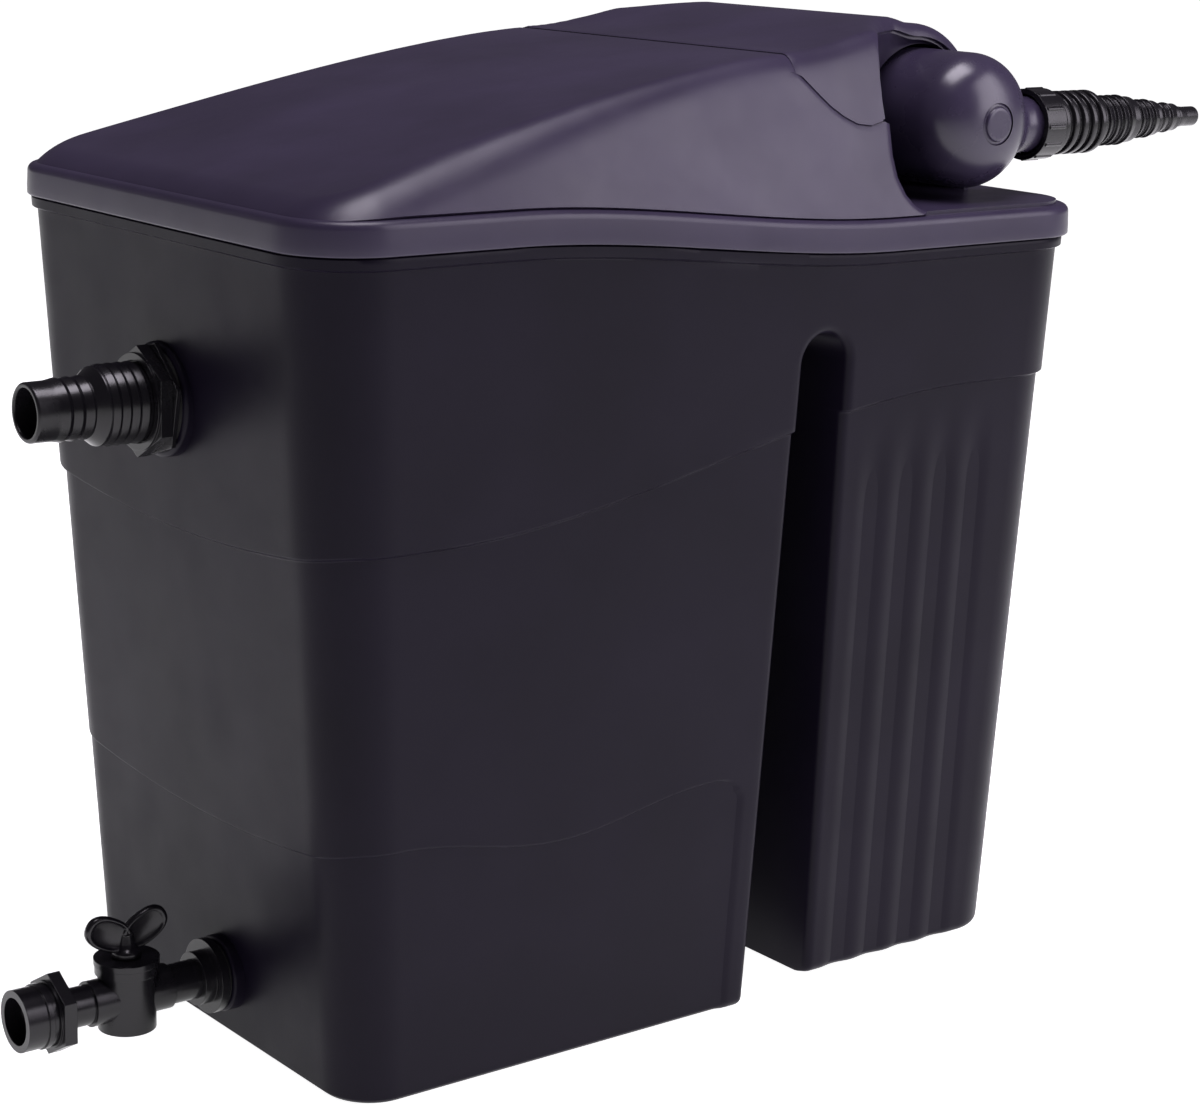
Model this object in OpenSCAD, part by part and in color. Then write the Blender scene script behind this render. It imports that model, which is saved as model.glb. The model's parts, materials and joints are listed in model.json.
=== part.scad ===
// Flow-through pond filter: tapered two-legged tub, loose lid with a UV clarifier under its own
// cover, stepped hose tails and a drain tap.
// Millimetres, +X along the long side towards the clarifier, -Y the long front face, +Z up.
// The origin is on the ground, under the middle of the rim.

/* [Tub] */
// Height of the tapered body at which the top sizes are taken
tub_h = 450; // [400:1:500]
// Length of the body at that height
top_len = 532; // [500:1:560]
// Depth of the body at that height
top_depth = 324; // [300:1:350]
// Left end of the body at the ground, from the middle of the rim
foot_left = 236; // [225:1:250]
// Right end of the body at the ground, from the middle of the rim
foot_right = 248; // [235:1:258]
// Depth of the body at the ground
foot_depth = 297; // [280:1:310]
// Corner radius at the ground
foot_corner_r = 34; // [28:1:40]
// Corner radius at the top
top_corner_r = 40; // [34:1:48]
// Wall thickness of the tub
wall = 4; // [3:0.5:5]
// How far the underside of the small leg is held off the ground
leg_lift = 8; // [4:1:12]

/* [Slot between the legs] */
// Middle of the slot where its round top is
slot_top_x = 66.5; // [60:0.5:72]
// Middle of the slot at the ground
slot_foot_x = 62.5; // [58:0.5:68]
// Radius of the round top
slot_r = 16.5; // [14:0.5:20]
// Half of the slot's width at the ground
slot_foot_half = 24; // [18:0.5:28]
// Height of the centre of the round top
slot_arc_z = 379.5; // [350:0.5:395]

/* [Rim] */
// Outside length of the lid rim
rim_len = 542; // [538:1:548]
// Outside depth of the lid rim
rim_depth = 334; // [331:1:340]
// Outside corner radius of the lid rim
rim_corner_r = 43; // [40:1:50]
// Height of the lid rim band
rim_h = 17.5; // [15:0.5:20]
// Height of the rim's lower edge over the left half
rim_left_z = 458; // [450:1:465]
// How much lower the rim runs over the right half
rim_drop = 18; // [10:1:20]
// Wall thickness of the lid and of the cover
shell = 3; // [2.5:0.5:3.5]

/* [Crown] */
// Height of the crown where it meets the clarifier cover
crown_z = 543.5; // [535:0.5:550]
// How far the crown falls from there to the left rim
crown_fall = 65; // [58:1:66]
// Station of the seam between crown and clarifier cover
seam_x = 60; // [55:1:65]
// Height of the ridge of the clarifier cover
ridge_z = 559; // [555:1:564]
// Station of the bay beside the clarifier
bay_x = 118; // [112:1:124]
// Half depth of the cover where it arches over the clarifier
arch_y = 86; // [84:1:96]

/* [Clarifier] */
// Axis of the clarifier, from the middle of the rim
uv_x = 200; // [196:1:204]
// Height of the clarifier axis
uv_z = 505; // [503:0.5:506]
// Height of the axis of the inlet stub
stub_z = 500; // [499:0.5:501]
// Outside radius of the clarifier tube
uv_r = 39; // [37:0.5:39.5]
// Wall of the clarifier tube
uv_wall = 3; // [2.5:0.5:4]
// Front end of the dome
dome_tip_y = -150; // [-155:1:-145]
// Start of the dome
dome_root_y = -122; // [-126:1:-118]
// Back end of the tube
tube_back_y = 106; // [104:1:108]
// Station of the inlet stub
stub_y = -115; // [-118:1:-112]
// Outside radius of the inlet stub
stub_r = 16.5; // [15:0.5:17]
// Free end of the inlet stub
stub_end_x = 262; // [258:1:266]

/* [Outlet] */
// Height of the outlet axis
outlet_z = 364; // [355:1:370]
// Radius of the outer step of the outlet tail, for 32 mm hose
outlet_small_r = 16; // [15:0.5:17]
// Radius of the inner step of the outlet tail, for 42 mm hose
outlet_big_r = 21; // [20:0.5:22]
// Free end of the outlet tail
outlet_tip_x = -342; // [-350:1:-335]

/* [Drain] */
// Height of the drain axis
drain_z = 40; // [36:1:46]
// Distance of the drain axis in front of the middle
drain_y = -18; // [-30:1:0]
// Axis of the drain tap
tap_x = -297; // [-300:1:-294]
// Outside radius of the drain pipe
drain_r = 11; // [10:0.5:12]
// Free end of the drain socket
drain_tip_x = -364; // [-368:1:-360]

/* [Media] */
// Thickness of one foam mat
foam_t = 44; // [36:1:46]
// Height of the foam mats
foam_h = 306; // [260:1:310]
// Radius of one filter brush
brush_r = 24; // [18:1:25]

/* [Hidden] */
$fn = 64;
big = 900;
wave_steps = 20;
wave_from = -150;
wave_to = 110;
half_rim = rim_len / 2;
rim_right_z = rim_left_z - rim_drop;
tray_z = rim_right_z + rim_h;
leg_floor_z = leg_lift + wall;
seat_gap = 0.05;
seam_gap = 0.4;
outlet_seat_x = -265.5;
outlet_inner_x = -254;
drain_seat_x = -242;
drain_inner_x = -232;
cap_r = 38;
uv_bore_r = uv_r - uv_wall;
spout_y = 60;
spout_r = 20;
foot_ys = [-40, 30];
foot_screw_xs = [-30, 30];
cover_screw_x = 256;
cover_screw_ys = [-60, 60];
screw_r = 2.2;
screw_hole_r = 2.6;
foam_z = 24;
foam_xs = [-14, -62, -110];
frame_xs = [-17.5, -65.5];
brush_x = 165;
brush_pitch = 54;
rail_z = 350;

black_plastic = [0.06, 0.06, 0.065];
lid_plastic = [0.13, 0.12, 0.16];
fitting_plastic = [0.05, 0.05, 0.05];
rubber = [0.03, 0.03, 0.03];
steel = [0.62, 0.63, 0.65];

// Smooth step from 0 to 1
function ease(t) = let (c = min(max(t, 0), 1)) c * c * (3 - 2 * c);
// Lower edge of the lid rim: level, then an S-shaped drop, then level again
function rim_z(x) = rim_left_z - rim_drop * ease((x - wave_from) / (wave_to - wave_from));
// Stations at which the wave is cut into straight stretches
function wave_xs() = concat(
    [-big / 2],
    [for (i = [0:wave_steps]) wave_from + (wave_to - wave_from) * i / wave_steps],
    [big / 2]
);
// Height of the crown along the lid
function crown_at(x) = crown_z - crown_fall * pow((seam_x - x) / (seam_x + half_rim - 3), 2);
// Straight change of a size with height
function taper(low, high, z) = low + (high - low) * z / tub_h;

module along_y(length) rotate([90, 0, 0]) linear_extrude(length, center = true) children();
module along_x(length) rotate([90, 0, 90]) linear_extrude(length, center = true) children();
module rod_x(r, x0, x1) translate([x0, 0, 0]) rotate([0, 90, 0]) cylinder(r = r, h = x1 - x0);
module rod_y(r, y0, y1) translate([0, y0, 0]) rotate([-90, 0, 0]) cylinder(r = r, h = y1 - y0);
module rod_z(r, z0, z1) translate([0, 0, z0]) cylinder(r = r, h = z1 - z0);
module hex_x(flats, x0, x1)
    translate([x0, 0, 0]) rotate([0, 90, 0]) cylinder(d = flats / cos(30), h = x1 - x0, $fn = 6);
module block(low, high) translate(low) cube(high - low);

module rounded_rect(w, d, r) {
    square([w, d - 2 * r], center = true);
    square([w - 2 * r, d], center = true);
    for (sx = [-1, 1], sy = [-1, 1]) translate([sx * (w / 2 - r), sy * (d / 2 - r)]) circle(r);
}

// Band between two heights that follow the rim's wave
module wave_band(low, high)
    along_y(big) polygon(concat(
        [for (x = wave_xs()) [x, rim_z(x) + low]],
        [for (i = [len(wave_xs()) - 1:-1:0]) [wave_xs()[i], rim_z(wave_xs()[i]) + high]]
    ));

// ---------------------------------------------------------------- tub

module tub_level(z, inset) {
    left = taper(foot_left, top_len / 2, z) - inset;
    right = taper(foot_right, top_len / 2, z) - inset;
    translate([(right - left) / 2, 0, z]) linear_extrude(0.02)
        rounded_rect(
            left + right,
            taper(foot_depth, top_depth, z) - 2 * inset,
            taper(foot_corner_r, top_corner_r, z) - inset,
            $fn = 32
        );
}

module tub_block(inset, low) hull() {
    tub_level(low, inset);
    tub_level(490, inset);
}

module slot_outline(grow) {
    polygon([
        [slot_foot_x - slot_foot_half - grow, 0],
        [slot_foot_x + slot_foot_half + grow, 0],
        [slot_top_x + slot_r + grow, slot_arc_z],
        [slot_top_x - slot_r - grow, slot_arc_z]
    ]);
    translate([slot_top_x, slot_arc_z]) circle(slot_r + grow);
    translate([slot_foot_x - slot_foot_half - grow, -big / 9])
        square([2 * (slot_foot_half + grow), big / 9 + 0.01]);
}

module tub_ledge() intersection() {
    linear_extrude(big) difference() {
        rounded_rect(rim_len - 3, rim_depth - 3, rim_corner_r - 1.5);
        rounded_rect(top_len - 5, top_depth - 5, top_corner_r - 2.5);
    }
    wave_band(-7, -0.5);
}

module tub_cavity() difference() {
    tub_block(wall, wall);
    along_y(big) slot_outline(wall - 0.5);
    block([slot_foot_x, -big / 2, -1], [big / 2, big / 2, leg_floor_z]);
}

module rail_rests() for (s = [-1, 1])
    translate([brush_x - 12, s * 152 - 4, rail_z - 22]) cube([24, 8, 22]);

module tub() color(black_plastic) difference() {
    union() {
        difference() {
            intersection() {
                tub_block(0, 0);
                wave_band(-big, rim_h - 6);
            }
            tub_cavity();
            along_y(big) slot_outline(0);
            block([slot_foot_x, -big / 2, -1], [big / 2, big / 2, leg_lift]);
        }
        tub_ledge();
        translate([0, 0, outlet_z]) rod_x(29, outlet_seat_x, outlet_inner_x);
        translate([0, drain_y, drain_z]) rod_x(20, drain_seat_x, drain_inner_x);
        for (x = [120, 210], y = [-90, 90]) translate([x, y, 0]) rod_z(10, 0, leg_lift + 1);
        intersection() {
            rail_rests();
            tub_block(1, 2);
        }
    }
    translate([0, 0, outlet_z]) rod_x(outlet_big_r + 0.3, -300, -220);
    translate([0, drain_y, drain_z]) rod_x(drain_r + 0.3, -300, -200);
}

// ---------------------------------------------------------------- lid and cover

// Outline across the crown and the cover: level top, soft shoulder, steep side
module cross_outline(inset) {
    side = [
        [162, 430], [162, 457], [159, 464], [130, 531], [123, 543], [113, 551],
        [100, 557], [86, 561]
    ];
    n = len(side) - 1;
    polygon(concat(
        [for (i = [0:n]) [inset - side[i][0], side[i][1] - inset]],
        [for (i = [n:-1:0]) [side[i][0] - inset, side[i][1] - inset]]
    ));
}

module crown_outline(inset) {
    left = inset - half_rim + 5;
    steps = 18;
    polygon(concat(
        [[left, 430]],
        [for (i = [0:steps]) let (x = left + (seam_x - inset - left) * i / steps)
            [x, crown_at(x) - inset]],
        [[seam_x - inset, crown_z - 5 - inset]],
        [[seam_x + 14, 522 - inset], [seam_x + 28, 509 - inset], [bay_x - inset, 505 - inset]],
        [[bay_x - inset, 430]]
    ));
}

module crown_solid(inset) intersection() {
    along_y(big) crown_outline(inset);
    along_x(big) cross_outline(inset);
    linear_extrude(big) rounded_rect(
        rim_len - 6 - 2 * inset, rim_depth - 6 - 2 * inset, rim_corner_r - 3 - inset);
}

module rim_solid(inset, low, high) intersection() {
    linear_extrude(big)
        rounded_rect(rim_len - 2 * inset, rim_depth - 2 * inset, rim_corner_r - inset);
    wave_band(low, high);
}

module lid() color(lid_plastic) difference() {
    union() {
        rim_solid(0, 0, rim_h);
        intersection() {
            crown_solid(0);
            wave_band(rim_h - 2, big / 4);
        }
    }
    rim_solid(shell, -10, rim_h - shell);
    crown_solid(shell);
    translate([uv_x, spout_y, 0]) rod_z(spout_r + 0.6, 430, 480);
    for (x = foot_screw_xs, y = foot_ys) translate([uv_x + x, y, 0]) rod_z(screw_hole_r, 430, 480);
    for (y = cover_screw_ys) translate([cover_screw_x, y, 0]) rod_z(screw_hole_r, 430, 480);
}

module lid_seal() color(rubber) intersection() {
    linear_extrude(big) difference() {
        rounded_rect(top_len + 1, top_depth + 1, top_corner_r);
        rounded_rect(top_len - 8, top_depth - 8, top_corner_r - 4);
    }
    wave_band(rim_h - 6, rim_h - shell);
}

module cover_outline(inset) {
    rise = 12;
    arc = 14;
    arc_r = 51 - inset;
    polygon(concat(
        [[seam_x + seam_gap + inset, crown_z - inset - 4]],
        [for (i = [0:rise]) let (t = i / rise)
            [seam_x + seam_gap + inset + (112 - inset) * t,
             crown_z + (ridge_z - crown_z) * ease(t) - inset]],
        [for (i = [1:arc]) let (a = 75 - 75 * i / arc)
            [193 + arc_r * cos(a), 504 + arc_r * sin(a)]],
        [[193 + arc_r, tray_z - (inset > 0 ? 20 : 0)]],
        [[bay_x + seam_gap + inset * 0.4, tray_z - (inset > 0 ? 20 : 0)]],
        [[bay_x + seam_gap + inset * 0.4, 505.6], [seam_x + 28.5, 509.6], [seam_x + 14.5, 522.6]]
    ));
}

module cover_solid(inset) intersection() {
    along_y(big) cover_outline(inset);
    along_x(big) cross_outline(inset);
    union() {
        block([0, -big / 2, 400], [bay_x + seam_gap + inset * 0.4 + 0.01, big / 2, 600]);
        block([0, inset - arch_y, 400], [big / 2, arch_y - inset, 600]);
    }
}

module uv_cover() color(lid_plastic) difference() {
    union() {
        difference() {
            cover_solid(0);
            cover_solid(shell);
        }
        for (y = cover_screw_ys)
            block([241.5, y - 9, tray_z], [263, y + 9, tray_z + 4]);
    }
    translate([uv_x, 0, uv_z]) rod_y(uv_r + 1.8, -big / 2, big / 2);
    block([uv_x - uv_r - 1.8, -big / 2, 400], [uv_x + uv_r + 1.8, -arch_y + 20, uv_z]);
    block([uv_x - uv_r - 1.8, arch_y - 20, 400], [uv_x + uv_r + 1.8, big / 2, uv_z]);
    for (y = cover_screw_ys) translate([cover_screw_x, y, 0]) rod_z(screw_hole_r, 430, 480);
}

module pan_screw(z, length) {
    rod_z(screw_r, z - length, z + 0.5);
    difference() {
        rod_z(4.4, z, z + 2.6);
        for (a = [0, 90]) rotate(a) translate([-3, -0.5, z + 1.4]) cube([6, 1, 2]);
    }
}

module cover_screws() color(steel)
    for (y = cover_screw_ys) translate([cover_screw_x, y, 0]) pan_screw(tray_z + 4, 12);

// ---------------------------------------------------------------- clarifier

module dome_profile(r, tip, root) {
    steps = 12;
    polygon(concat(
        [[0, root + 0.5]],
        [[r, root + 0.5]],
        [for (i = [0:steps]) let (a = 90 * i / steps)
            [r * pow(cos(a), 0.8), root + (tip - root) * pow(sin(a), 0.95)]]
    ));
}

// A profile in radius and height turned round the Y axis
module turned_y() rotate([-90, 0, 0]) rotate_extrude() children();

module at_uv() translate([uv_x, 0, uv_z]) children();

module uv_housing() color(lid_plastic) difference() {
    union() {
        at_uv() {
            rod_y(uv_r, dome_root_y, tube_back_y);
            turned_y() dome_profile(uv_r, dome_tip_y, dome_root_y);
            rod_y(uv_r + 2.5, tube_back_y - 8, tube_back_y);
            translate([0, stub_y, stub_z - uv_z]) rod_x(stub_r, 20, stub_end_x - uv_x);
        }
        for (y = foot_ys) {
            block([uv_x - 36, y - 8, tray_z], [uv_x + 36, y + 8, tray_z + 6]);
            block([uv_x - 20, y - 8, tray_z], [uv_x + 20, y + 8, tray_z + 14]);
        }
        translate([uv_x, spout_y, 0]) rod_z(spout_r, tray_z - 17, uv_z);
    }
    at_uv() {
        rod_y(uv_bore_r, dome_root_y + 2, tube_back_y + 1);
        turned_y() dome_profile(uv_bore_r, dome_tip_y + uv_wall, dome_root_y + 2);
        translate([0, stub_y, stub_z - uv_z]) rod_x(stub_r - 3.5, 10, big / 4);
        rod_y(10.2, dome_tip_y - 5, dome_tip_y + 1.2);
    }
    translate([uv_x, spout_y, 0]) rod_z(spout_r - 3, 400, uv_z);
    for (x = foot_screw_xs, y = foot_ys) translate([uv_x + x, y, 0]) rod_z(screw_hole_r, 430, 480);
}

module uv_end_disc() color(lid_plastic) at_uv() {
    rod_y(10, dome_tip_y - 0.8, dome_tip_y + 1.2);
    rod_y(8, dome_tip_y - 1.6, dome_tip_y - 0.8);
}

module housing_screws() color(steel)
    for (x = foot_screw_xs, y = foot_ys) translate([uv_x + x, y, 0]) pan_screw(tray_z + 6, 14);

module uv_spout() color(black_plastic) translate([uv_x, spout_y, 0]) difference() {
    union() {
        rod_z(spout_r + 3, 384, tray_z - shell - 2.5);
        rod_z(spout_r + 5, tray_z - shell - 6, tray_z - shell - 2.5);
    }
    rod_z(spout_r - 2, 380, tray_z - 18);
    rod_z(spout_r + seat_gap, tray_z - 17.5, 460);
}

module spout_seal() color(rubber) translate([uv_x, spout_y, 0]) difference() {
    rod_z(spout_r + 4, tray_z - shell - 2.4, tray_z - shell - 0.1);
    rod_z(spout_r + seat_gap, 440, 460);
}

module uv_quartz_sleeve() color([0.8, 0.85, 0.9, 0.5]) at_uv() difference() {
    union() {
        rod_y(13, -88, 95.8);
        translate([0, -88, 0]) sphere(13);
    }
    rod_y(11.5, -88, 97);
    translate([0, -88, 0]) sphere(11.5);
}

module uv_lamp() color([0.9, 0.9, 0.92]) at_uv() {
    for (s = [-1, 1]) translate([s * 5.2, 0, 0]) rod_y(4.4, -86, 80);
    rod_y(4, -82, -78);
    block([-9.6, 80, -6], [9.6, 95.8, 6]);
}

module uv_lamp_holder() color(fitting_plastic) at_uv() difference() {
    union() {
        rod_y(33.5, 96, 100);
        rod_y(35.4, 102, tube_back_y + 0.1);
        rod_y(31, 100, 102);
    }
    rod_y(9, 98, 120);
}

module uv_head_seal() color(rubber) at_uv() difference() {
    rod_y(uv_bore_r - 0.15, 100.05, 101.95);
    rod_y(31 + seat_gap, 99, 103);
}

module uv_head_cap() color(fitting_plastic) at_uv() difference() {
    union() {
        rod_y(cap_r, tube_back_y + 0.2, 128);
        translate([0, 128, 0]) turned_y() polygon(concat(
            [[0, -0.5], [cap_r, -0.5]],
            [for (i = [0:6]) [cap_r - 10 + 10 * cos(15 * i), 10 * sin(15 * i)]],
            [[0, 10]]
        ));
    }
    rod_y(cap_r - 3.5, tube_back_y, 126);
    rod_y(cap_r - 13, 120, 134.5);
    translate([0, 0, -14]) rod_y(7.05, 120, 150);
}

module uv_lock_ring() color(lid_plastic) at_uv() difference() {
    union() {
        rod_y(41.2, tube_back_y + 0.5, 120);
        for (a = [0:30:330]) rotate([0, a, 0]) translate([40.4, 0, 0]) rod_y(1.9, 108, 118.5);
    }
    rod_y(cap_r + seat_gap, 100, 130);
}

module uv_cable_gland() color(rubber) translate([uv_x, 0, uv_z - 14]) difference() {
    union() {
        rod_y(7, 128, 139);
        translate([0, 138.1, 0]) rotate([-90, 0, 0]) cylinder(d = 18 / cos(30), h = 5, $fn = 6);
        rod_y(7.6, 143, 154);
        rod_y(5.6, 154, 159);
    }
    rod_y(3.6, 120, 165);
}

// ---------------------------------------------------------------- inlet

module at_stub() translate([0, stub_y, stub_z]) children();

module inlet_seal_ring() color(rubber) at_stub() difference() {
    rod_x(stub_r - 0.5, stub_end_x + 0.05, stub_end_x + 1.95);
    rod_x(stub_r - 3.5, 250, 280);
}

module inlet_union_nut() color(fitting_plastic) at_stub() difference() {
    union() {
        rod_x(21, stub_end_x - 6, stub_end_x + 10);
        for (a = [0:30:330]) rotate([a, 0, 0]) translate([0, 0, 20.2])
            rod_x(1.5, stub_end_x - 4.5, stub_end_x + 8.5);
    }
    rod_x(18, 250, stub_end_x + 6.2);
    rod_x(14.2, 250, 290);
}

// One hose step with its barbs: plain at the free end, ridges towards the root
module hose_step(r, x0, x1, barbs, ridge) {
    rod_x(r, x0, x1);
    pitch = (abs(x1 - x0) - 6) / (barbs + 0.5);
    for (i = [0:1:barbs - 1]) translate([x0 + 2 + i * pitch, 0, 0]) rotate([0, 90, 0])
        cylinder(r1 = r + ridge, r2 = r, h = pitch * 0.7);
}

module inlet_hose_tail() color(fitting_plastic) at_stub() difference() {
    union() {
        rod_x(17.6, stub_end_x + 2, stub_end_x + 6);
        rod_x(14, stub_end_x + 6, 278);
        rod_x(16.5, 273, 313);
        for (i = [0:4]) rod_x(19, 273.5 + i * 7.8, 278 + i * 7.8);
        hose_step(14.2, 312, 347, 4, 1);
        hose_step(11, 346, 369, 3, 0.9);
        hose_step(8.6, 368, 388, 2, 0.8);
        rod_x(6, 387, 407);
    }
    rod_x(12.5, 250, 311);
    rod_x(10.6, 310, 345);
    rod_x(8, 344, 367);
    rod_x(5.6, 366, 386);
    rod_x(3.8, 385, 410);
}

// ---------------------------------------------------------------- outlet

module at_outlet() translate([0, 0, outlet_z]) children();

module outlet_hose_tail() color(fitting_plastic) at_outlet() difference() {
    union() {
        rod_x(outlet_big_r, -304, -240);
        for (i = [0:3]) translate([-302 + i * 5.6, 0, 0]) rotate([0, 90, 0])
            cylinder(r1 = outlet_big_r, r2 = outlet_big_r + 1, h = 4.6);
        translate([-309, 0, 0]) rotate([0, 90, 0])
            cylinder(r1 = outlet_small_r + 1.2, r2 = outlet_big_r, h = 5);
        rod_x(outlet_small_r, outlet_tip_x, -300);
        for (i = [0:2]) translate([-329 + i * 7, 0, 0]) rotate([0, 90, 0])
            cylinder(r1 = outlet_small_r, r2 = outlet_small_r + 1, h = 5.6);
    }
    rod_x(outlet_small_r - 3, -350, -300);
    rod_x(outlet_big_r - 4, -301, -230);
}

module outlet_hex_nut() color(fitting_plastic) at_outlet() difference() {
    union() {
        hex_x(52, -277, -270.1);
        rod_x(26, -278.5, -270.1);
    }
    rod_x(outlet_big_r + 1.05, -290, -276);
    rod_x(outlet_big_r + seat_gap, -290, -260);
}

module outlet_washer() color(fitting_plastic) at_outlet() difference() {
    rotate([12, 0, 0]) hex_x(56, -270, -266.5 - 1);
    rod_x(outlet_big_r + seat_gap, -290, -260);
}

module outlet_gasket() color(rubber) at_outlet() difference() {
    rod_x(28, -267.4, outlet_seat_x - 0.05);
    rod_x(outlet_big_r + seat_gap, -290, -260);
}

module outlet_inner_nut() color(fitting_plastic) at_outlet() difference() {
    hex_x(52, outlet_inner_x + 0.05, outlet_inner_x + 7);
    rod_x(outlet_big_r + seat_gap, -290, -240);
}

module outlet_screen() color(black_plastic) at_outlet() difference() {
    rod_x(outlet_big_r + 3, outlet_inner_x + 7.1, -196);
    rod_x(outlet_big_r + seat_gap, -260, -199);
    for (a = [0:30:150]) rotate([a, 0, 0])
        block([-236, -2, -40], [-203, 2, 40]);
}

// ---------------------------------------------------------------- drain

module at_drain() translate([0, drain_y, drain_z]) children();
module at_tap() translate([tap_x, drain_y, drain_z]) children();

module drain_wall_flange() color(fitting_plastic) at_drain() difference() {
    union() {
        rod_x(21, drain_seat_x - 7, drain_seat_x - 2.1);
        rod_x(15, drain_seat_x - 14, drain_seat_x - 6);
    }
    rod_x(drain_r + seat_gap, -300, -200);
}

module drain_gasket() color(rubber) at_drain() difference() {
    rod_x(19, drain_seat_x - 2.05, drain_seat_x - 0.05);
    rod_x(drain_r + seat_gap, -300, -200);
}

module drain_inner_nut() color(fitting_plastic) at_drain() difference() {
    hex_x(36, drain_inner_x + 0.05, drain_inner_x + 7);
    rod_x(drain_r + seat_gap, -300, -200);
}

module drain_valve_body() color(fitting_plastic) difference() {
    union() {
        at_drain() rod_x(drain_r, -352, -216);
        at_tap() {
            rod_z(16, -18, 19);
            rod_z(17.5, 14, 19);
            rod_x(12.6, -24, 24);
        }
    }
    at_drain() rod_x(8, -360, -210);
    at_tap() {
        sphere(12.06);
        rod_x(11.4, -13, 13);
        rod_z(4.05, 0, 30);
        rod_z(10.5, 16, 30);
    }
}

module drain_seat_rings() color([0.9, 0.9, 0.88]) at_tap() for (s = [-1, 1]) difference() {
    rod_x(11.35, s < 0 ? -12.9 : 8.3, s < 0 ? -8.3 : 12.9);
    rod_x(8, -20, 20);
    sphere(12.06);
}

module drain_ball() color(steel) at_tap() difference() {
    sphere(12);
    rod_x(8, -20, 20);
    rod_z(14, 11, 13);
}

module drain_stem() color(steel) at_tap() rod_z(4, 11.02, 29);

module drain_bonnet_ring() color(fitting_plastic) at_tap() difference() {
    union() {
        rod_z(10.45, 16.05, 19.1);
        rod_z(18, 19.1, 22.5);
    }
    rod_z(4.05, 10, 30);
}

// Half of the wing handle, as an outline across the pipe
module wing_outline() {
    polygon([[0, 0], [9, 0], [22.5, 13], [18, 22], [6, 12], [0, 10]]);
    translate([17.5, 16.5]) circle(6.8);
}

module drain_handle() color(fitting_plastic) at_tap() difference() {
    union() {
        rod_z(9.5, 22.9, 31);
        for (s = [0, 1]) mirror([s, 0, 0]) translate([0, 0, 25]) along_y(5) wing_outline();
    }
    rod_z(4.02, 20, 29.02);
    rod_z(2.1, 28, 40);
    rod_z(4, 33, 44);
}

module drain_handle_screw() color(steel) at_tap() {
    rod_z(2, 29.05, 33);
    rod_z(3.6, 33, 35.4);
}

module drain_union_nut() color(fitting_plastic) at_drain() difference() {
    union() {
        hex_x(40, -344.8, -337.5);
        rod_x(18.5, -346, -336.5);
    }
    rod_x(drain_r + seat_gap, -370, -300);
    rod_x(17.2, -350, -345);
}

module drain_socket() color(fitting_plastic) at_drain() difference() {
    union() {
        rod_x(17, drain_tip_x, -345.05);
        rod_x(17.8, drain_tip_x + 12, drain_tip_x + 15);
    }
    rod_x(drain_r + seat_gap, -352.05, -340);
    rod_x(8, -360, -340);
    rod_x(13, drain_tip_x - 1, -353.5);
}

// ---------------------------------------------------------------- media

module media_grid() color(black_plastic) {
    difference() {
        block([-160, -134, 14], [30, 134, 20]);
        for (x = [-154:12:22], y = [-126:42:90]) translate([x, y, 10]) cube([5, 34, 20]);
    }
    for (x = [-148, 18], y = [-120, 120]) translate([x, y, 0]) rod_z(7, wall + 0.1, 14.5);
}

module foam_frames() color([0.1, 0.1, 0.1]) for (x = frame_xs) difference() {
    block([x, -136, 20.1], [x + 3, 136, 336]);
    for (y = [-124:32:100], z = [34:42:300]) translate([x - 2, y, z]) cube([8, 24, 32]);
}

module foam_mat(i) translate([foam_xs[i], -136, foam_z - 3.8]) cube([foam_t, 272, foam_h]);

module foam_coarse() color([0.1, 0.25, 0.55]) foam_mat(0);
module foam_medium() color([0.1, 0.45, 0.3]) foam_mat(1);
module foam_fine() color([0.7, 0.68, 0.6]) foam_mat(2);

module bio_rings() color([0.75, 0.72, 0.65])
    for (k = [0:1], y = [-100:25:100], x = [-150, -126]) translate([x, y, 20.2 + k * 19])
        difference() {
            rod_z(10.5, 0, 18);
            rod_z(7, -1, 20);
        }

module brush_rail() color(fitting_plastic) difference() {
    block([brush_x - 9, -150, rail_z + 0.1], [brush_x + 9, 150, rail_z + 5]);
    for (i = [-2:2]) translate([brush_x, i * brush_pitch, 0]) rod_z(2.4, 340, 360);
}

module brush_stems() color(steel) for (i = [-2:2]) translate([brush_x, i * brush_pitch, 0]) {
    rod_z(2.2, 34, rail_z + 8);
    rod_z(5, rail_z + 5.1, rail_z + 8);
}

module filter_brushes() color([0.1, 0.3, 0.2])
    for (i = [-2:2]) translate([brush_x, i * brush_pitch, 0]) difference() {
        rod_z(brush_r, 36, 336);
        rod_z(2.25, 30, 340);
    }

tub();
lid();
lid_seal();
uv_cover();
cover_screws();
uv_housing();
uv_end_disc();
housing_screws();
uv_spout();
spout_seal();
uv_quartz_sleeve();
uv_lamp();
uv_lamp_holder();
uv_head_cap();
uv_head_seal();
uv_lock_ring();
uv_cable_gland();
inlet_seal_ring();
inlet_union_nut();
inlet_hose_tail();
outlet_hose_tail();
outlet_hex_nut();
outlet_washer();
outlet_gasket();
outlet_inner_nut();
outlet_screen();
drain_wall_flange();
drain_gasket();
drain_inner_nut();
drain_valve_body();
drain_seat_rings();
drain_ball();
drain_stem();
drain_bonnet_ring();
drain_handle();
drain_handle_screw();
drain_union_nut();
drain_socket();
media_grid();
foam_frames();
foam_coarse();
foam_medium();
foam_fine();
bio_rings();
brush_rail();
filter_brushes();
brush_stems();
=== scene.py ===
import json
import math

import bmesh
import bpy
import numpy as np
from mathutils import Matrix, Vector


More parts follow.
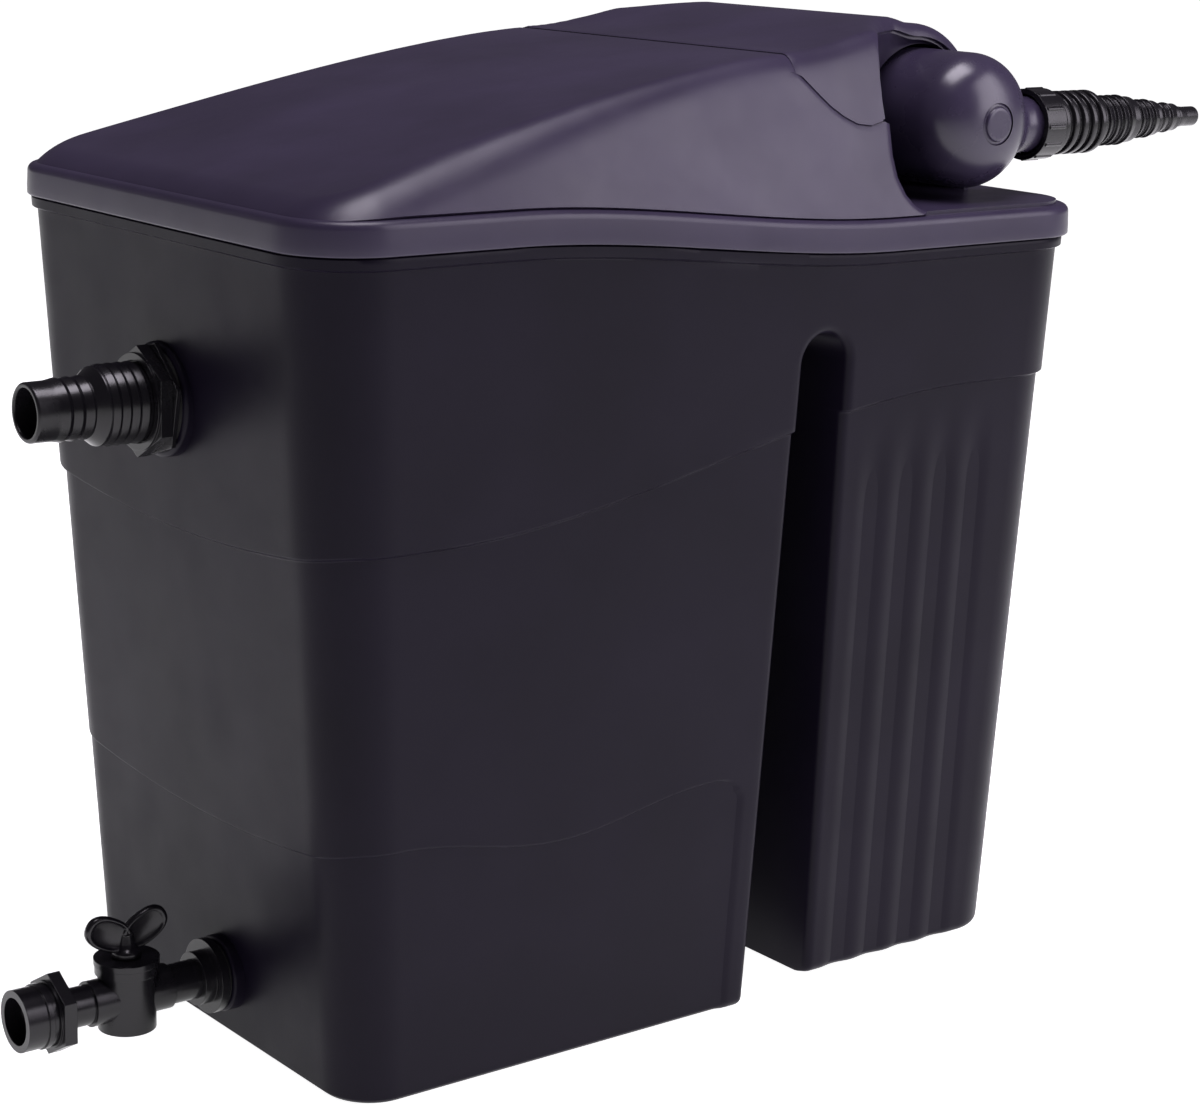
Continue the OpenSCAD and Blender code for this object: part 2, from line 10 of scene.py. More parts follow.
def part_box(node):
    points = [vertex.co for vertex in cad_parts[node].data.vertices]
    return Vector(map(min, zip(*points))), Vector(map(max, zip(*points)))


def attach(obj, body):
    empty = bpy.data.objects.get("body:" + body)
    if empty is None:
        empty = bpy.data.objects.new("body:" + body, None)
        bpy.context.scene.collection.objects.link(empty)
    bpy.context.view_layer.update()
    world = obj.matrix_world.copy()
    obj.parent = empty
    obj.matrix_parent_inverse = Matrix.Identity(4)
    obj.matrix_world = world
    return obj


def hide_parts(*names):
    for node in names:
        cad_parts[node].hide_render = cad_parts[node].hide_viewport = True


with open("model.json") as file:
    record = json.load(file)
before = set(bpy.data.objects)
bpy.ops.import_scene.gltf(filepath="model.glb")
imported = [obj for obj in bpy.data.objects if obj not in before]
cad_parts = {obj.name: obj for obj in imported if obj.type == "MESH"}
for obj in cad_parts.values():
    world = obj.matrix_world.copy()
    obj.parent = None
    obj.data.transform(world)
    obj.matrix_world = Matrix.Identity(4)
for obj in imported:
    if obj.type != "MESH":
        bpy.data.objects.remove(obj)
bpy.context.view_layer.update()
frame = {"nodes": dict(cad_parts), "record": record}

MM = 0.001

# ------------------------------------------------------------------ driving sizes, in millimetres
# They repeat the sizes of the CAD frame. CROWN_FALL and CROWN_POWER are the lid's own look: its
# left half runs a few millimetres under the frame's crown.
LEFT_FOOT, RIGHT_FOOT, HALF_DEPTH_FOOT = 236.0, 248.0, 148.5
HALF_LEN_TOP, HALF_DEPTH_TOP, TAPER_H = 266.0, 162.0, 450.0
CORNER_FOOT, CORNER_TOP = 34.0, 40.0
LEG_LIFT, WALL = 8.0, 4.0
SLOT_TOP_X, SLOT_FOOT_X, SLOT_R, SLOT_FOOT_HALF, SLOT_ARC_Z = 66.5, 62.5, 16.5, 24.0, 379.5
RIM_Z, RIM_DROP, RIM_H = 458.0, 18.0, 17.5
WAVE_FROM, WAVE_TO = -150.0, 110.0
RIM_HALF_X, RIM_HALF_Y, RIM_CORNER = 271.0, 167.0, 43.0
CROWN_Z, CROWN_FALL, SEAM_X, BAY_X = 543.5, 66.5, 60.0, 118.0
RIDGE_Z, ARCH_Y, ARCH_X, ARCH_Z, ARCH_R = 559.0, 86.0, 193.0, 504.0, 51.0
ARCH_FROM, ARCH_FILLET, SKIN_GAP = 172.0, 7.0, 1.0
TRAY_Z = RIM_Z - RIM_DROP + RIM_H
UV_X, UV_Z, UV_R, STUB_Y, STUB_Z = 200.0, 505.0, 39.0, -115.0, 500.0
DOME_TIP_Y, DOME_ROOT_Y, TUBE_BACK_Y = -150.0, -122.0, 106.0
OUTLET_Z, DRAIN_Y, DRAIN_Z = 364.0, -18.0, 40.0
SLOPE_LOW, SLOPE_HIGH, SHOULDER_SOFT, CROWN_FOOT, CROWN_POWER = 1.5, 2.4, 18.0, 6.0, 1.38


# ------------------------------------------------------------------ small maths
def ease(t):
    """Smooth step from 0 to 1."""
    t = np.clip(t, 0.0, 1.0)
    return t * t * (3 - 2 * t)


def taper(low, high, z):
    """A size that changes evenly with height, from the ground to TAPER_H."""
    return low + (high - low) * z / TAPER_H


def soft_min(a, b, k):
    """The smaller of a and b, blended over a width k."""
    h = np.clip(0.5 + 0.5 * (b - a) / k, 0.0, 1.0)
    return b * (1 - h) + a * h - k * h * (1 - h)


def rim_z(x):
    """Height of the rim's lower edge, which steps down towards the right."""
    return RIM_Z - RIM_DROP * ease((x - WAVE_FROM) / (WAVE_TO - WAVE_FROM))


def rim_top(x):
    return rim_z(x) + RIM_H


def crown_at(x):
    """Height of the crown along the lid's middle line, left of the seam."""
    return CROWN_Z - CROWN_FALL * ((SEAM_X - x) / (SEAM_X + RIM_HALF_X - 3)) ** CROWN_POWER


def spread(*stops):
    """Values running through (start, stop, count) stretches, ends shared."""
    parts = [np.linspace(a, b, n, endpoint=False) for a, b, n in stops]
    return np.concatenate(parts + [np.array([stops[-1][1]])])


# ------------------------------------------------------------------ mesh helpers
class Sheet:
    """Collects grids of points, in millimetres, and welds them into one mesh."""

    def __init__(self):
        self.verts = []
        self.faces = []

    def grid(self, points, flip=False):
        rows, cols = points.shape[:2]
        base = len(self.verts)
        self.verts.extend(points.reshape(-1, 3).tolist())
        for i in range(rows - 1):
            for j in range(cols - 1):
                a = base + i * cols + j
                quad = (a, a + 1, a + cols + 1, a + cols)
                self.faces.append(quad[::-1] if flip else quad)

    def polygon(self, points, flip=False):
        base = len(self.verts)
        self.verts.extend(np.asarray(points).tolist())
        loop = tuple(range(base, base + len(points)))
        self.faces.append(loop[::-1] if flip else loop)

    def build(self, name, weld=0.02, sharp=35.0, solid=0.0):
        mesh = bpy.data.meshes.new(name)
        scaled = [(x * MM, y * MM, z * MM) for x, y, z in self.verts]
        mesh.from_pydata(scaled, [], self.faces)
        bm = bmesh.new()
        bm.from_mesh(mesh)
        bmesh.ops.remove_doubles(bm, verts=bm.verts, dist=weld * MM)
        bmesh.ops.dissolve_degenerate(bm, edges=bm.edges, dist=1e-6)
        if not solid:
            bmesh.ops.recalc_face_normals(bm, faces=bm.faces)
        mark_sharp(bm, sharp)
        bm.to_mesh(mesh)
        bm.free()
        obj = bpy.data.objects.new(name, mesh)
        bpy.context.scene.collection.objects.link(obj)
        if solid:
            thicken(obj, solid, sharp)
        return obj


def mark_sharp(bm, degrees):
    """Smooth shading, apart from edges that turn by more than the given angle."""
    for face in bm.faces:
        face.smooth = True
    limit = math.radians(degrees)
    for edge in bm.edges:
        edge.smooth = len(edge.link_faces) == 2 and edge.calc_face_angle(0.0) < limit


def thicken(obj, thickness, sharp):
    """Gives a sheet a wall thickness on its inner side."""
    mod = obj.modifiers.new("thickness", "SOLIDIFY")
    mod.thickness = thickness * MM
    mod.offset = -1.0
    graph = bpy.context.evaluated_depsgraph_get()
    mesh = bpy.data.meshes.new_from_object(obj.evaluated_get(graph))
    obj.modifiers.clear()
    obj.data = mesh
    bm = bmesh.new()
    bm.from_mesh(mesh)
    mark_sharp(bm, sharp)
    bm.to_mesh(mesh)
    bm.free()


def finish_piece(obj, body, material, slot, *nodes):
    obj.data.materials.clear()
    obj.data.materials.append(material)
    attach(obj, body)
    if nodes:
        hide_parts(*nodes)
    return obj


def lathe_grid(sheet, stations, origin, axis, segments=96):
    """Turns (station, radius) pairs round a line through origin along axis."""
    axis = np.array(axis, float)
    side = np.array([0.0, 0.0, 1.0]) if abs(axis[2]) < 0.5 else np.array([1.0, 0.0, 0.0])
    other = np.cross(axis, side)
    angle = np.linspace(0, 2 * math.pi, segments + 1)
    ring = np.cos(angle)[:, None] * side + np.sin(angle)[:, None] * other
    rows = [np.array(origin) + axis * t + ring * r for t, r in stations]
    sheet.grid(np.array(rows))


def rounded_profile(corners):
    """Rounds each (station, radius, fillet) corner with a short arc."""
    points = []
    count = len(corners)
    for i, (t, r, fillet) in enumerate(corners):
        here = np.array([t, r], float)
        if fillet <= 0 or i in (0, count - 1):
            points.append(here)
            continue
        to_last = np.array(corners[i - 1][:2], float) - here
        to_next = np.array(corners[i + 1][:2], float) - here
        reach = min(fillet, np.linalg.norm(to_last) * 0.45, np.linalg.norm(to_next) * 0.45)
        a = here + to_last / np.linalg.norm(to_last) * reach
        b = here + to_next / np.linalg.norm(to_next) * reach
        for s in np.linspace(0, 1, 6):
            points.append((1 - s) ** 2 * a + 2 * s * (1 - s) * here + s * s * b)
    return points


# ------------------------------------------------------------------ materials
def node_material(name):
    mat = bpy.data.materials.new(name)
    mat.use_nodes = True
    tree = mat.node_tree
    tree.nodes.clear()
    out = tree.nodes.new("ShaderNodeOutputMaterial")
    shader = tree.nodes.new("ShaderNodeBsdfPrincipled")
    tree.links.new(shader.outputs[0], out.inputs["Surface"])
    coords = tree.nodes.new("ShaderNodeTexCoord")
    return mat, tree, shader, coords


def noise(tree, coords, scale, detail=3.0, rough=0.55):
    node = tree.nodes.new("ShaderNodeTexNoise")
    node.inputs["Scale"].default_value = scale
    node.inputs["Detail"].default_value = detail
    node.inputs["Roughness"].default_value = rough
    tree.links.new(coords.outputs["Object"], node.inputs["Vector"])
    return node


def ramp(tree, source, low, high, at=(0.3, 0.7)):
    node = tree.nodes.new("ShaderNodeValToRGB")
    for stop, value, place in zip(node.color_ramp.elements, (low, high), at):
        stop.position = place
        stop.color = (*value, 1.0)
    tree.links.new(source, node.inputs["Fac"])
    return node


def map_range(tree, source, low, high):
    node = tree.nodes.new("ShaderNodeMapRange")
    node.inputs["From Min"].default_value = 0.3
    node.inputs["From Max"].default_value = 0.7
    node.inputs["To Min"].default_value = low
    node.inputs["To Max"].default_value = high
    tree.links.new(source, node.inputs["Value"])
    return node


def bump(tree, source, strength, distance, below=None):
    node = tree.nodes.new("ShaderNodeBump")
    node.inputs["Strength"].default_value = strength
    node.inputs["Distance"].default_value = distance
    tree.links.new(source, node.inputs["Height"])
    if below is not None:
        tree.links.new(below.outputs["Normal"], node.inputs["Normal"])
    return node


def moulded(name, color, rough, grain=0.25, edge=0.0, sheen=0.05, gloss_level=0.3):
    """Moulded plastic: fine spark-eroded grain, slow shade changes and soft edges."""
    mat, tree, shader, coords = node_material(name)
    base = np.array(color)
    cloud = noise(tree, coords, 9.0, 4.0)
    tone = ramp(tree, cloud.outputs["Fac"], tuple(base * 0.82), tuple(base * 1.18))
    tree.links.new(tone.outputs["Color"], shader.inputs["Base Color"])
    smear = noise(tree, coords, 26.0, 5.0, 0.6)
    gloss = map_range(tree, smear.outputs["Fac"], rough - sheen, rough + sheen)
    tree.links.new(gloss.outputs["Result"], shader.inputs["Roughness"])
    fine = noise(tree, coords, 1500.0, 2.0, 0.7)
    normal = None
    if edge:
        normal = tree.nodes.new("ShaderNodeBevel")
        normal.samples = 6
        normal.inputs["Radius"].default_value = edge * MM
    grain_bump = bump(tree, fine.outputs["Fac"], grain, 0.0002, normal)
    wide = noise(tree, coords, 14.0, 2.0)
    wave_bump = bump(tree, wide.outputs["Fac"], 0.08, 0.002, grain_bump)
    tree.links.new(wave_bump.outputs["Normal"], shader.inputs["Normal"])
    shader.inputs["Specular IOR Level"].default_value = gloss_level
    return mat


def foam(name, color, pore):
    """Open-cell foam: a dull coloured skin with painted shade in its pores (colour darkened at each
    Voronoi cell centre), plus a pore bump.
    """
    mat, tree, shader, coords = node_material(name)
    cells = tree.nodes.new("ShaderNodeTexVoronoi")
    cells.inputs["Scale"].default_value = pore
    tree.links.new(coords.outputs["Object"], cells.inputs["Vector"])
    base = np.array(color)
    # painted shade: the colour falls to a quarter of the foam's own colour at the pore centres
    tone = ramp(tree, cells.outputs["Distance"], tuple(base * 0.25), tuple(base * 1.1), (0.15, 0.6))
    tree.links.new(tone.outputs["Color"], shader.inputs["Base Color"])
    shader.inputs["Roughness"].default_value = 0.95
    pores = bump(tree, cells.outputs["Distance"], 0.9, 0.0015)
    tree.links.new(pores.outputs["Normal"], shader.inputs["Normal"])
    return mat


def metal(name, color, rough):
    """Brushed metal with fine streaks."""
    mat, tree, shader, coords = node_material(name)
    streak = noise(tree, coords, 320.0, 4.0)
    tone = ramp(tree, streak.outputs["Fac"], tuple(np.array(color) * 0.85), tuple(color))
    tree.links.new(tone.outputs["Color"], shader.inputs["Base Color"])
    gloss = map_range(tree, streak.outputs["Fac"], rough * 0.8, rough * 1.3)
    tree.links.new(gloss.outputs["Result"], shader.inputs["Roughness"])
    shader.inputs["Metallic"].default_value = 1.0
    fine = bump(tree, streak.outputs["Fac"], 0.1, 0.0002)
    tree.links.new(fine.outputs["Normal"], shader.inputs["Normal"])
    return mat


def clear_glass(name, tint, frost):
    """Glass with a slightly uneven haze."""
    mat, tree, shader, coords = node_material(name)
    haze = noise(tree, coords, 60.0, 3.0)
    gloss = map_range(tree, haze.outputs["Fac"], 0.02, frost)
    tone = ramp(tree, haze.outputs["Fac"], tuple(np.array(tint) * 0.94), tuple(tint))
    tree.links.new(tone.outputs["Color"], shader.inputs["Base Color"])
    tree.links.new(gloss.outputs["Result"], shader.inputs["Roughness"])
    shader.inputs["Transmission Weight"].default_value = 0.9
    shader.inputs["IOR"].default_value = 1.46
    return mat


TUB_PLASTIC = moulded("tub_plastic", (0.0056, 0.0042, 0.0094), 0.38, 0.30, gloss_level=0.08)
LID_PLASTIC = moulded("lid_plastic", (0.0270, 0.0208, 0.0420), 0.33, 0.20, gloss_level=0.24)
LID_PARTS = moulded("lid_parts_plastic", (0.0270, 0.0208, 0.0420), 0.27, 0.16, 0.8, gloss_level=0.40)
FITTING = moulded("fitting_plastic", (0.0058, 0.0053, 0.0068), 0.25, 0.12, 0.5, gloss_level=0.32)
INNER = moulded("inner_plastic", (0.0160, 0.0160, 0.0165), 0.48, 0.25, 0.6)
RUBBER = moulded("seal_rubber", (0.0100, 0.0100, 0.0100), 0.62, 0.35)
SEAT_WHITE = moulded("seat_plastic", (0.75, 0.75, 0.72), 0.35, 0.05)
CERAMIC = moulded("ring_ceramic", (0.52, 0.44, 0.32), 0.85, 0.9)
BRISTLE = moulded("bristle_plastic", (0.020, 0.085, 0.045), 0.45, 0.1)
STEEL = metal("stainless_steel", (0.62, 0.62, 0.64), 0.28)
QUARTZ = clear_glass("quartz_glass", (0.95, 0.97, 1.0), 0.08)
LAMP_GLASS = clear_glass("lamp_glass", (0.93, 0.94, 0.95), 0.30)
FOAM_BLUE = foam("foam_coarse_blue", (0.03, 0.10, 0.30), 260.0)
FOAM_GREEN = foam("foam_medium_green", (0.03, 0.18, 0.10), 420.0)
FOAM_CREAM = foam("foam_fine_cream", (0.55, 0.50, 0.36), 700.0)


# ------------------------------------------------------------------ tub
def wave_one(x, y):
    """Height of the upper step line round the tub."""
    dip = 12.0 * (1 - np.minimum(1.0, (y / 150.0) ** 2)) * ease((-x - 205.0) / 40.0)
    return 305.0 + 53.0 * ease((x + 190.0) / 370.0) - dip


def wave_two(x, y):
    """Height of the lower step line on the main leg."""
    swell = 137.0 - 7.0 * np.cos(2 * math.pi * (x + 103.0) / 216.0)
    level = swell + (144.0 - swell) * ease((-x - 205.0) / 25.0)
    dip = 13.0 * (1 - np.minimum(1.0, (y / 150.0) ** 2)) * ease((-x - 205.0) / 40.0)
    return level - dip


PANEL_EDGE_X, PANEL_CORNER, STEP_SOFT = 22.5, 14.0, 2.2


def step(distance):
    return ease(distance / STEP_SOFT + 0.5)


def panel_distance(x, y, z):
    """How far a point is inside the sunken lower panel of the main leg."""
    below = wave_two(x, y) - z
    beside = PANEL_EDGE_X + 0.01 * z - x
    beside = np.where(np.abs(y) > 120.0, beside, 100.0)
    near = (below < PANEL_CORNER) & (beside < PANEL_CORNER)
    round_off = PANEL_CORNER - np.hypot(PANEL_CORNER - below, PANEL_CORNER - beside)
    return np.where(near, round_off, np.minimum(below, beside))


def flutes(x, y, z):
    """Depth of the upright grooves on the small leg."""
    on_leg = (x > 98.0) & (x < 206.0) & (np.abs(y) > 120.0)
    groove = 0.5 - 0.5 * np.cos(2 * math.pi * (x - 98.0) / 27.0)
    return np.where(on_leg, 1.5 * groove * ease((wave_one(x, y) - 6.0 - z) / 55.0), 0.0)


def tub_relief(x, y, z, foot_z):
    """Inward inset of the outer wall: steps, panel, flutes, ledge and the rounded foot."""
    depth = 3.0 * step(wave_one(x, y) - z)
    depth = depth + np.where(x < SLOT_TOP_X, 1.6 * step(panel_distance(x, y, z)), 0.0)
    depth = depth + flutes(x, y, z)
    ledge = rim_z(x)
    depth = depth - 3.0 * ease((z - ledge + 8.0) / 1.6) * (1 - ease((z - ledge + 1.2) / 1.2))
    foot = np.clip(6.0 - (z - foot_z), 0.0, 6.0)
    return depth + 6.0 - np.sqrt(np.maximum(36.0 - foot ** 2, 0.0))


def slot_side(z, sign, grow):
    """Edge of the slot at a height: straight below the round top, upright above it."""
    t = np.clip(z / SLOT_ARC_Z, 0.0, 1.0)
    middle = SLOT_FOOT_X + (SLOT_TOP_X - SLOT_FOOT_X) * t
    half = SLOT_FOOT_HALF + (SLOT_R - SLOT_FOOT_HALF) * t
    return middle + sign * (half + grow)


def wall_point(kind, t, z, inset):
    """Plan point and outward normal on one stretch of the tub's outline at each height."""
    left = taper(LEFT_FOOT, HALF_LEN_TOP, z) - inset
    right = taper(RIGHT_FOOT, HALF_LEN_TOP, z) - inset
    deep = taper(HALF_DEPTH_FOOT, HALF_DEPTH_TOP, z) - inset
    corner = taper(CORNER_FOOT, CORNER_TOP, z) - inset
    side = 1.0 if kind.startswith("right") else -1.0
    end = right if side > 0 else left
    if kind.endswith("front") or kind.endswith("back"):
        face = -1.0 if kind.endswith("front") else 1.0
        return t, face * deep, 0.0 * z, face + 0.0 * z
    if kind.endswith("corner_a") or kind.endswith("corner_b"):
        face = -1.0 if kind.endswith("a") else 1.0
        cx = side * (end - corner)
        cy = face * (deep - corner)
        nx, ny = side * np.sin(t), face * np.cos(t)
        return cx + corner * nx, cy + corner * ny, nx + 0 * z, ny + 0 * z
    return side * end, t * (deep - corner), side + 0.0 * z, 0.0 * z


def rows_above(start, ledge, top):
    """Stops from a start below the rim's ledge to the top edge."""
    return [(start, ledge - 8.4, 16), (ledge - 8.4, ledge - 6.4, 4), (ledge - 6.4, ledge - 1.4, 2),
            (ledge - 1.4, ledge, 3), (ledge, top, 3)]


ROWS_BELOW_ARC = (6, 22, 14, 8, 36, 8, 10)
SLOT_ROW = sum(ROWS_BELOW_ARC)


def tub_rows(x, y, foot_z, top_gap):
    """Heights of the rows of one column, gathered near the steps and the ledge."""
    w1, w2, ledge = wave_one(x, y), wave_two(x, y), rim_z(x)
    levels = (foot_z, foot_z + 6.0, w2 - 18.0, w2 - 2.0, w2 + 2.0, w1 - 2.0, w1 + 2.0, SLOT_ARC_Z)
    below = list(zip(levels, levels[1:], ROWS_BELOW_ARC))
    return spread(*below, *rows_above(SLOT_ARC_Z, ledge, ledge + RIM_H - top_gap))


def arc_rows(x, start, top_gap):
    """Heights of the rows of one column that stands on the slot's round top."""
    ledge = rim_z(x)
    return spread(*rows_above(start, ledge, ledge + RIM_H - top_gap))


def wrap_columns(side):
    """Stretches of the outline round one leg, from the slot's front edge to its back edge."""
    name = "left" if side < 0 else "right"
    if side < 0:
        front = spread((0.0, 0.12, 8), (0.12, 0.26, 22), (0.26, 1.0, 70))
    else:
        front = spread((0.0, 1.0, 90))
    columns = [(name + "_front", f) for f in front]
    columns += [(name + "_corner_a", a) for a in np.linspace(0, math.pi / 2, 14)[1:]]
    columns += [(name + "_side", t) for t in np.linspace(-1, 1, 50)[1:]]
    columns += [(name + "_corner_b", a) for a in np.linspace(math.pi / 2, 0, 14)[1:]]
    columns += [(name + "_back", f) for f in front[::-1][1:]]
    return columns


def column_point(side, kind, t, z, inset, grow):
    """Plan points and normals of one column; the long faces run from the slot to the corner."""
    if kind.endswith("front") or kind.endswith("back"):
        edge = slot_side(z, side, grow)
        end = taper(LEFT_FOOT if side < 0 else RIGHT_FOOT, HALF_LEN_TOP, z) - inset
        corner = taper(CORNER_FOOT, CORNER_TOP, z) - inset
        t = edge + (side * (end - corner) - edge) * t
    return wall_point(kind, t, z, inset)


def leg_wrap(side, inset, grow, relief, foot_z, top_gap):
    """Grid of points round one leg and its half of the top, columns by rows."""
    result = []
    for kind, t in wrap_columns(side):
        rough_z = np.linspace(foot_z, RIM_Z, 8)
        px, py, _, _ = column_point(side, kind, t, rough_z, inset, grow)
        z = tub_rows(float(np.mean(px)), float(np.mean(py)), foot_z, top_gap)
        px, py, nx, ny = column_point(side, kind, t, z, inset, grow)
        if relief:
            depth = tub_relief(px, py, z, foot_z)
            px, py = px - nx * depth, py - ny * depth
        result.append(np.stack([px + 0 * z, py + 0 * z, z], 1))
    return np.array(result)


def arch_strip(face, inset, grow, relief, foot_z, top_gap):
    """Grid above the slot on one face, columns by rows."""
    result = []
    radius = SLOT_R + grow
    for angle in np.linspace(0, math.pi, 25):
        x = SLOT_TOP_X - radius * math.cos(angle)
        start = SLOT_ARC_Z + radius * math.sin(angle)
        z = arc_rows(x, start, top_gap)
        y = face * (taper(HALF_DEPTH_FOOT, HALF_DEPTH_TOP, z) - inset)
        if relief:
            y = y - face * tub_relief(x + 0 * z, y, z, foot_z)
        result.append(np.stack([x + 0 * z, y, z], 1))
    return np.array(result)


def slot_channel(front, back, fillet):
    """Skin of the slot from the front face's edge to the back face's edge."""
    count = len(front)
    inward = np.zeros((count, 3))
    for i, (x, _, z) in enumerate(front):
        if z <= SLOT_ARC_Z + 0.01:
            inward[i] = (1.0, 0, 0) if x < slot_side(z, 1, -SLOT_R) else (-1.0, 0, 0)
        else:
            v = np.array([SLOT_TOP_X - x, 0, SLOT_ARC_Z - z])
            inward[i] = v / np.linalg.norm(v)
    rings = []
    turns = np.linspace(0, math.pi / 2, 6)
    for a in turns:
        rings.append(front + inward * fillet * math.sin(a) + [0, fillet * (1 - math.cos(a)), 0])
    far = [back + inward * fillet * math.sin(a) - [0, fillet * (1 - math.cos(a)), 0] for a in turns]
    near_end = rings[-1]
    for s in np.linspace(0, 1, 14)[1:-1]:
        rings.append(near_end * (1 - s) + far[-1] * s)
    rings += far[::-1]
    return np.array(rings)


def tub_skin(sheet, inset, grow, relief, feet, top_gap, fillet, flip):
    """One skin of the tub, outer or inner; returns its top edge loops."""
    left = leg_wrap(-1, inset, grow + fillet, relief, feet[0], top_gap)
    right = leg_wrap(1, inset, grow + fillet, relief, feet[1], top_gap)
    front = arch_strip(-1.0, inset, grow + fillet, relief, feet[0], top_gap)
    back = arch_strip(1.0, inset, grow + fillet, relief, feet[0], top_gap)
    for patch in (left, right, front, back):
        sheet.grid(patch, flip)
    near = [left[0][:SLOT_ROW + 1], front[1:-1, 0], right[0][:SLOT_ROW + 1][::-1]]
    far = [left[-1][:SLOT_ROW + 1], back[1:-1, 0], right[-1][:SLOT_ROW + 1][::-1]]
    channel = slot_channel(np.concatenate(near), np.concatenate(far), fillet)
    sheet.grid(channel, flip)
    sheet.polygon(np.concatenate([left[:, 0], channel[::-1, 0]]), flip)
    sheet.polygon(np.concatenate([right[:, 0], channel[::-1, -1]]), flip)
    return [left[:, -1], right[:, -1], front[:, -1], back[:, -1]]


def build_tub():
    sheet = Sheet()
    outer = tub_skin(sheet, 0.0, 0.0, True, (0.0, LEG_LIFT), 6.0, 5.0, False)
    inner = tub_skin(sheet, WALL, WALL - 0.5, False, (WALL, LEG_LIFT + WALL), 6.0, 0.6, True)
    for a, b in zip(outer, inner):
        sheet.grid(np.array([a, b]))
    boss = [(-254.0, 31.0, 0), (-264.2, 31.0, 1.5), (-265.5, 29.0, 1.0), (-265.5, 20.5, 0)]
    lathe_grid(sheet, rounded_profile(boss), (0, 0, OUTLET_Z), (1, 0, 0))
    small = [(-232.0, 21.5, 0), (-241.0, 21.5, 1.0), (-242.0, 20.0, 0.8), (-242.0, 10.5, 0)]
    lathe_grid(sheet, rounded_profile(small), (0, DRAIN_Y, DRAIN_Z), (1, 0, 0))
    for x in (120.0, 210.0):
        for y in (-90.0, 90.0):
            pad = [(LEG_LIFT + 1, 11.0, 0), (1.2, 10.2, 1.0), (0.0, 9.0, 0.8), (0.0, 0.05, 0)]
            lathe_grid(sheet, rounded_profile(pad), (x, y, 0), (0, 0, 1), 32)
    obj = sheet.build("tub_shell", sharp=40.0)
    return finish_piece(obj, "tub_unit", TUB_PLASTIC, "tub_black", "tub")


# ------------------------------------------------------------------ lid and cover
def edge_distance(x, y):
    """Distance inside the foot of the crown, a rounded rectangle."""
    r = RIM_CORNER - CROWN_FOOT
    qx = np.abs(x) - (RIM_HALF_X - CROWN_FOOT - r)
    qy = np.abs(y) - (RIM_HALF_Y - CROWN_FOOT - r)
    outside = np.hypot(np.maximum(qx, 0), np.maximum(qy, 0)) + np.minimum(np.maximum(qx, qy), 0)
    return r - outside


def front_distance(y):
    return RIM_HALF_Y - CROWN_FOOT - np.abs(y)


def crown_height(x, y):
    """Height of the lid's top: the crown line, cut by the side slopes with a soft shoulder."""
    top = np.where(x < SEAM_X, crown_at(np.minimum(x, SEAM_X)), cover_top(x))
    inside = np.where(x < 0, edge_distance(x, y), front_distance(y))
    slope = SLOPE_LOW + (SLOPE_HIGH - SLOPE_LOW) * ease((x + 200.0) / 270.0)
    return soft_min(top, rim_top(x) + slope * inside, SHOULDER_SOFT)


def cover_top(x):
    """Height of the cover along its middle line: up to the ridge, then down onto the arch."""
    rise = CROWN_Z + (RIDGE_Z - CROWN_Z) * ease((x - SEAM_X) / (ARCH_FROM - SEAM_X))
    crest = RIDGE_Z - (RIDGE_Z - ARCH_Z - ARCH_R) * ease((x - ARCH_FROM) / (ARCH_X - ARCH_FROM))
    return np.where(x < ARCH_FROM, rise, crest)


LOBE_X = (60.0, 66.0, 73.0, 80.0, 88.0, 97.0, 107.0, 118.0)
LOBE_Z = (535.0, 529.0, 522.0, 515.5, 510.0, 505.8, 504.6, 507.0)
MOUTH_X = (118.0, 121.0, 125.0, 131.0, 139.0, 149.0, 160.0, 172.0)
MOUTH_Y = (138.5, 131.0, 124.0, 116.0, 107.5, 98.5, 90.5, 86.0)
BAY_Z = (457.5, 459.0, 462.0, 468.0, 478.0, 490.0, 507.0)
BAY_END = (133.0, 128.0, 123.5, 118.5, 115.0, 115.0, 118.0)


def lobe_z(x):
    """Lower edge of the cover where it laps down the crown's side."""
    return np.interp(x, LOBE_X, LOBE_Z)


def half_foot(x):
    """Half depth of the crown's foot at a station."""
    r = RIM_CORNER - CROWN_FOOT
    into = np.clip(-x - (RIM_HALF_X - CROWN_FOOT - r), 0.0, r - 0.05)
    return RIM_HALF_Y - CROWN_FOOT - r + math.sqrt(r * r - into * into)


def crown_fractions():
    """Shares of the half depth used by every row of the crown, with the lobe's start among them."""
    split = solve_depth(SEAM_X, LOBE_Z[0]) / (RIM_HALF_Y - CROWN_FOOT)
    flank = np.linspace(1.0, split, 40)
    top = split * np.sin(np.linspace(1, -1, 90) * math.pi / 2)
    return np.concatenate([-flank, -top[1:-1], flank[::-1]]), flank


def lid_crown(sheet):
    start = -(RIM_HALF_X - CROWN_FOOT) + 0.05
    corner = start + RIM_CORNER - CROWN_FOOT
    turn = corner - (corner - start) * np.cos(np.linspace(0, math.pi / 2, 18))
    xs = np.concatenate([turn, spread((corner + 4, SEAM_X, 80))])
    v, flank = crown_fractions()
    rows = []
    for x in xs:
        y = v * half_foot(x)
        rows.append(np.stack([x + 0 * y, y, crown_height(x + 0 * y, y)], 1))
    sheet.grid(np.array(rows))
    count = len(flank)
    seam = rows[-1][count - 1:len(v) - count + 1]
    sheet.grid(np.array([seam, seam - [0, 0, 7.0]]))
    for face in (-1.0, 1.0):
        lid_flank(sheet, face, flank)
    lid_bay_wall(sheet)


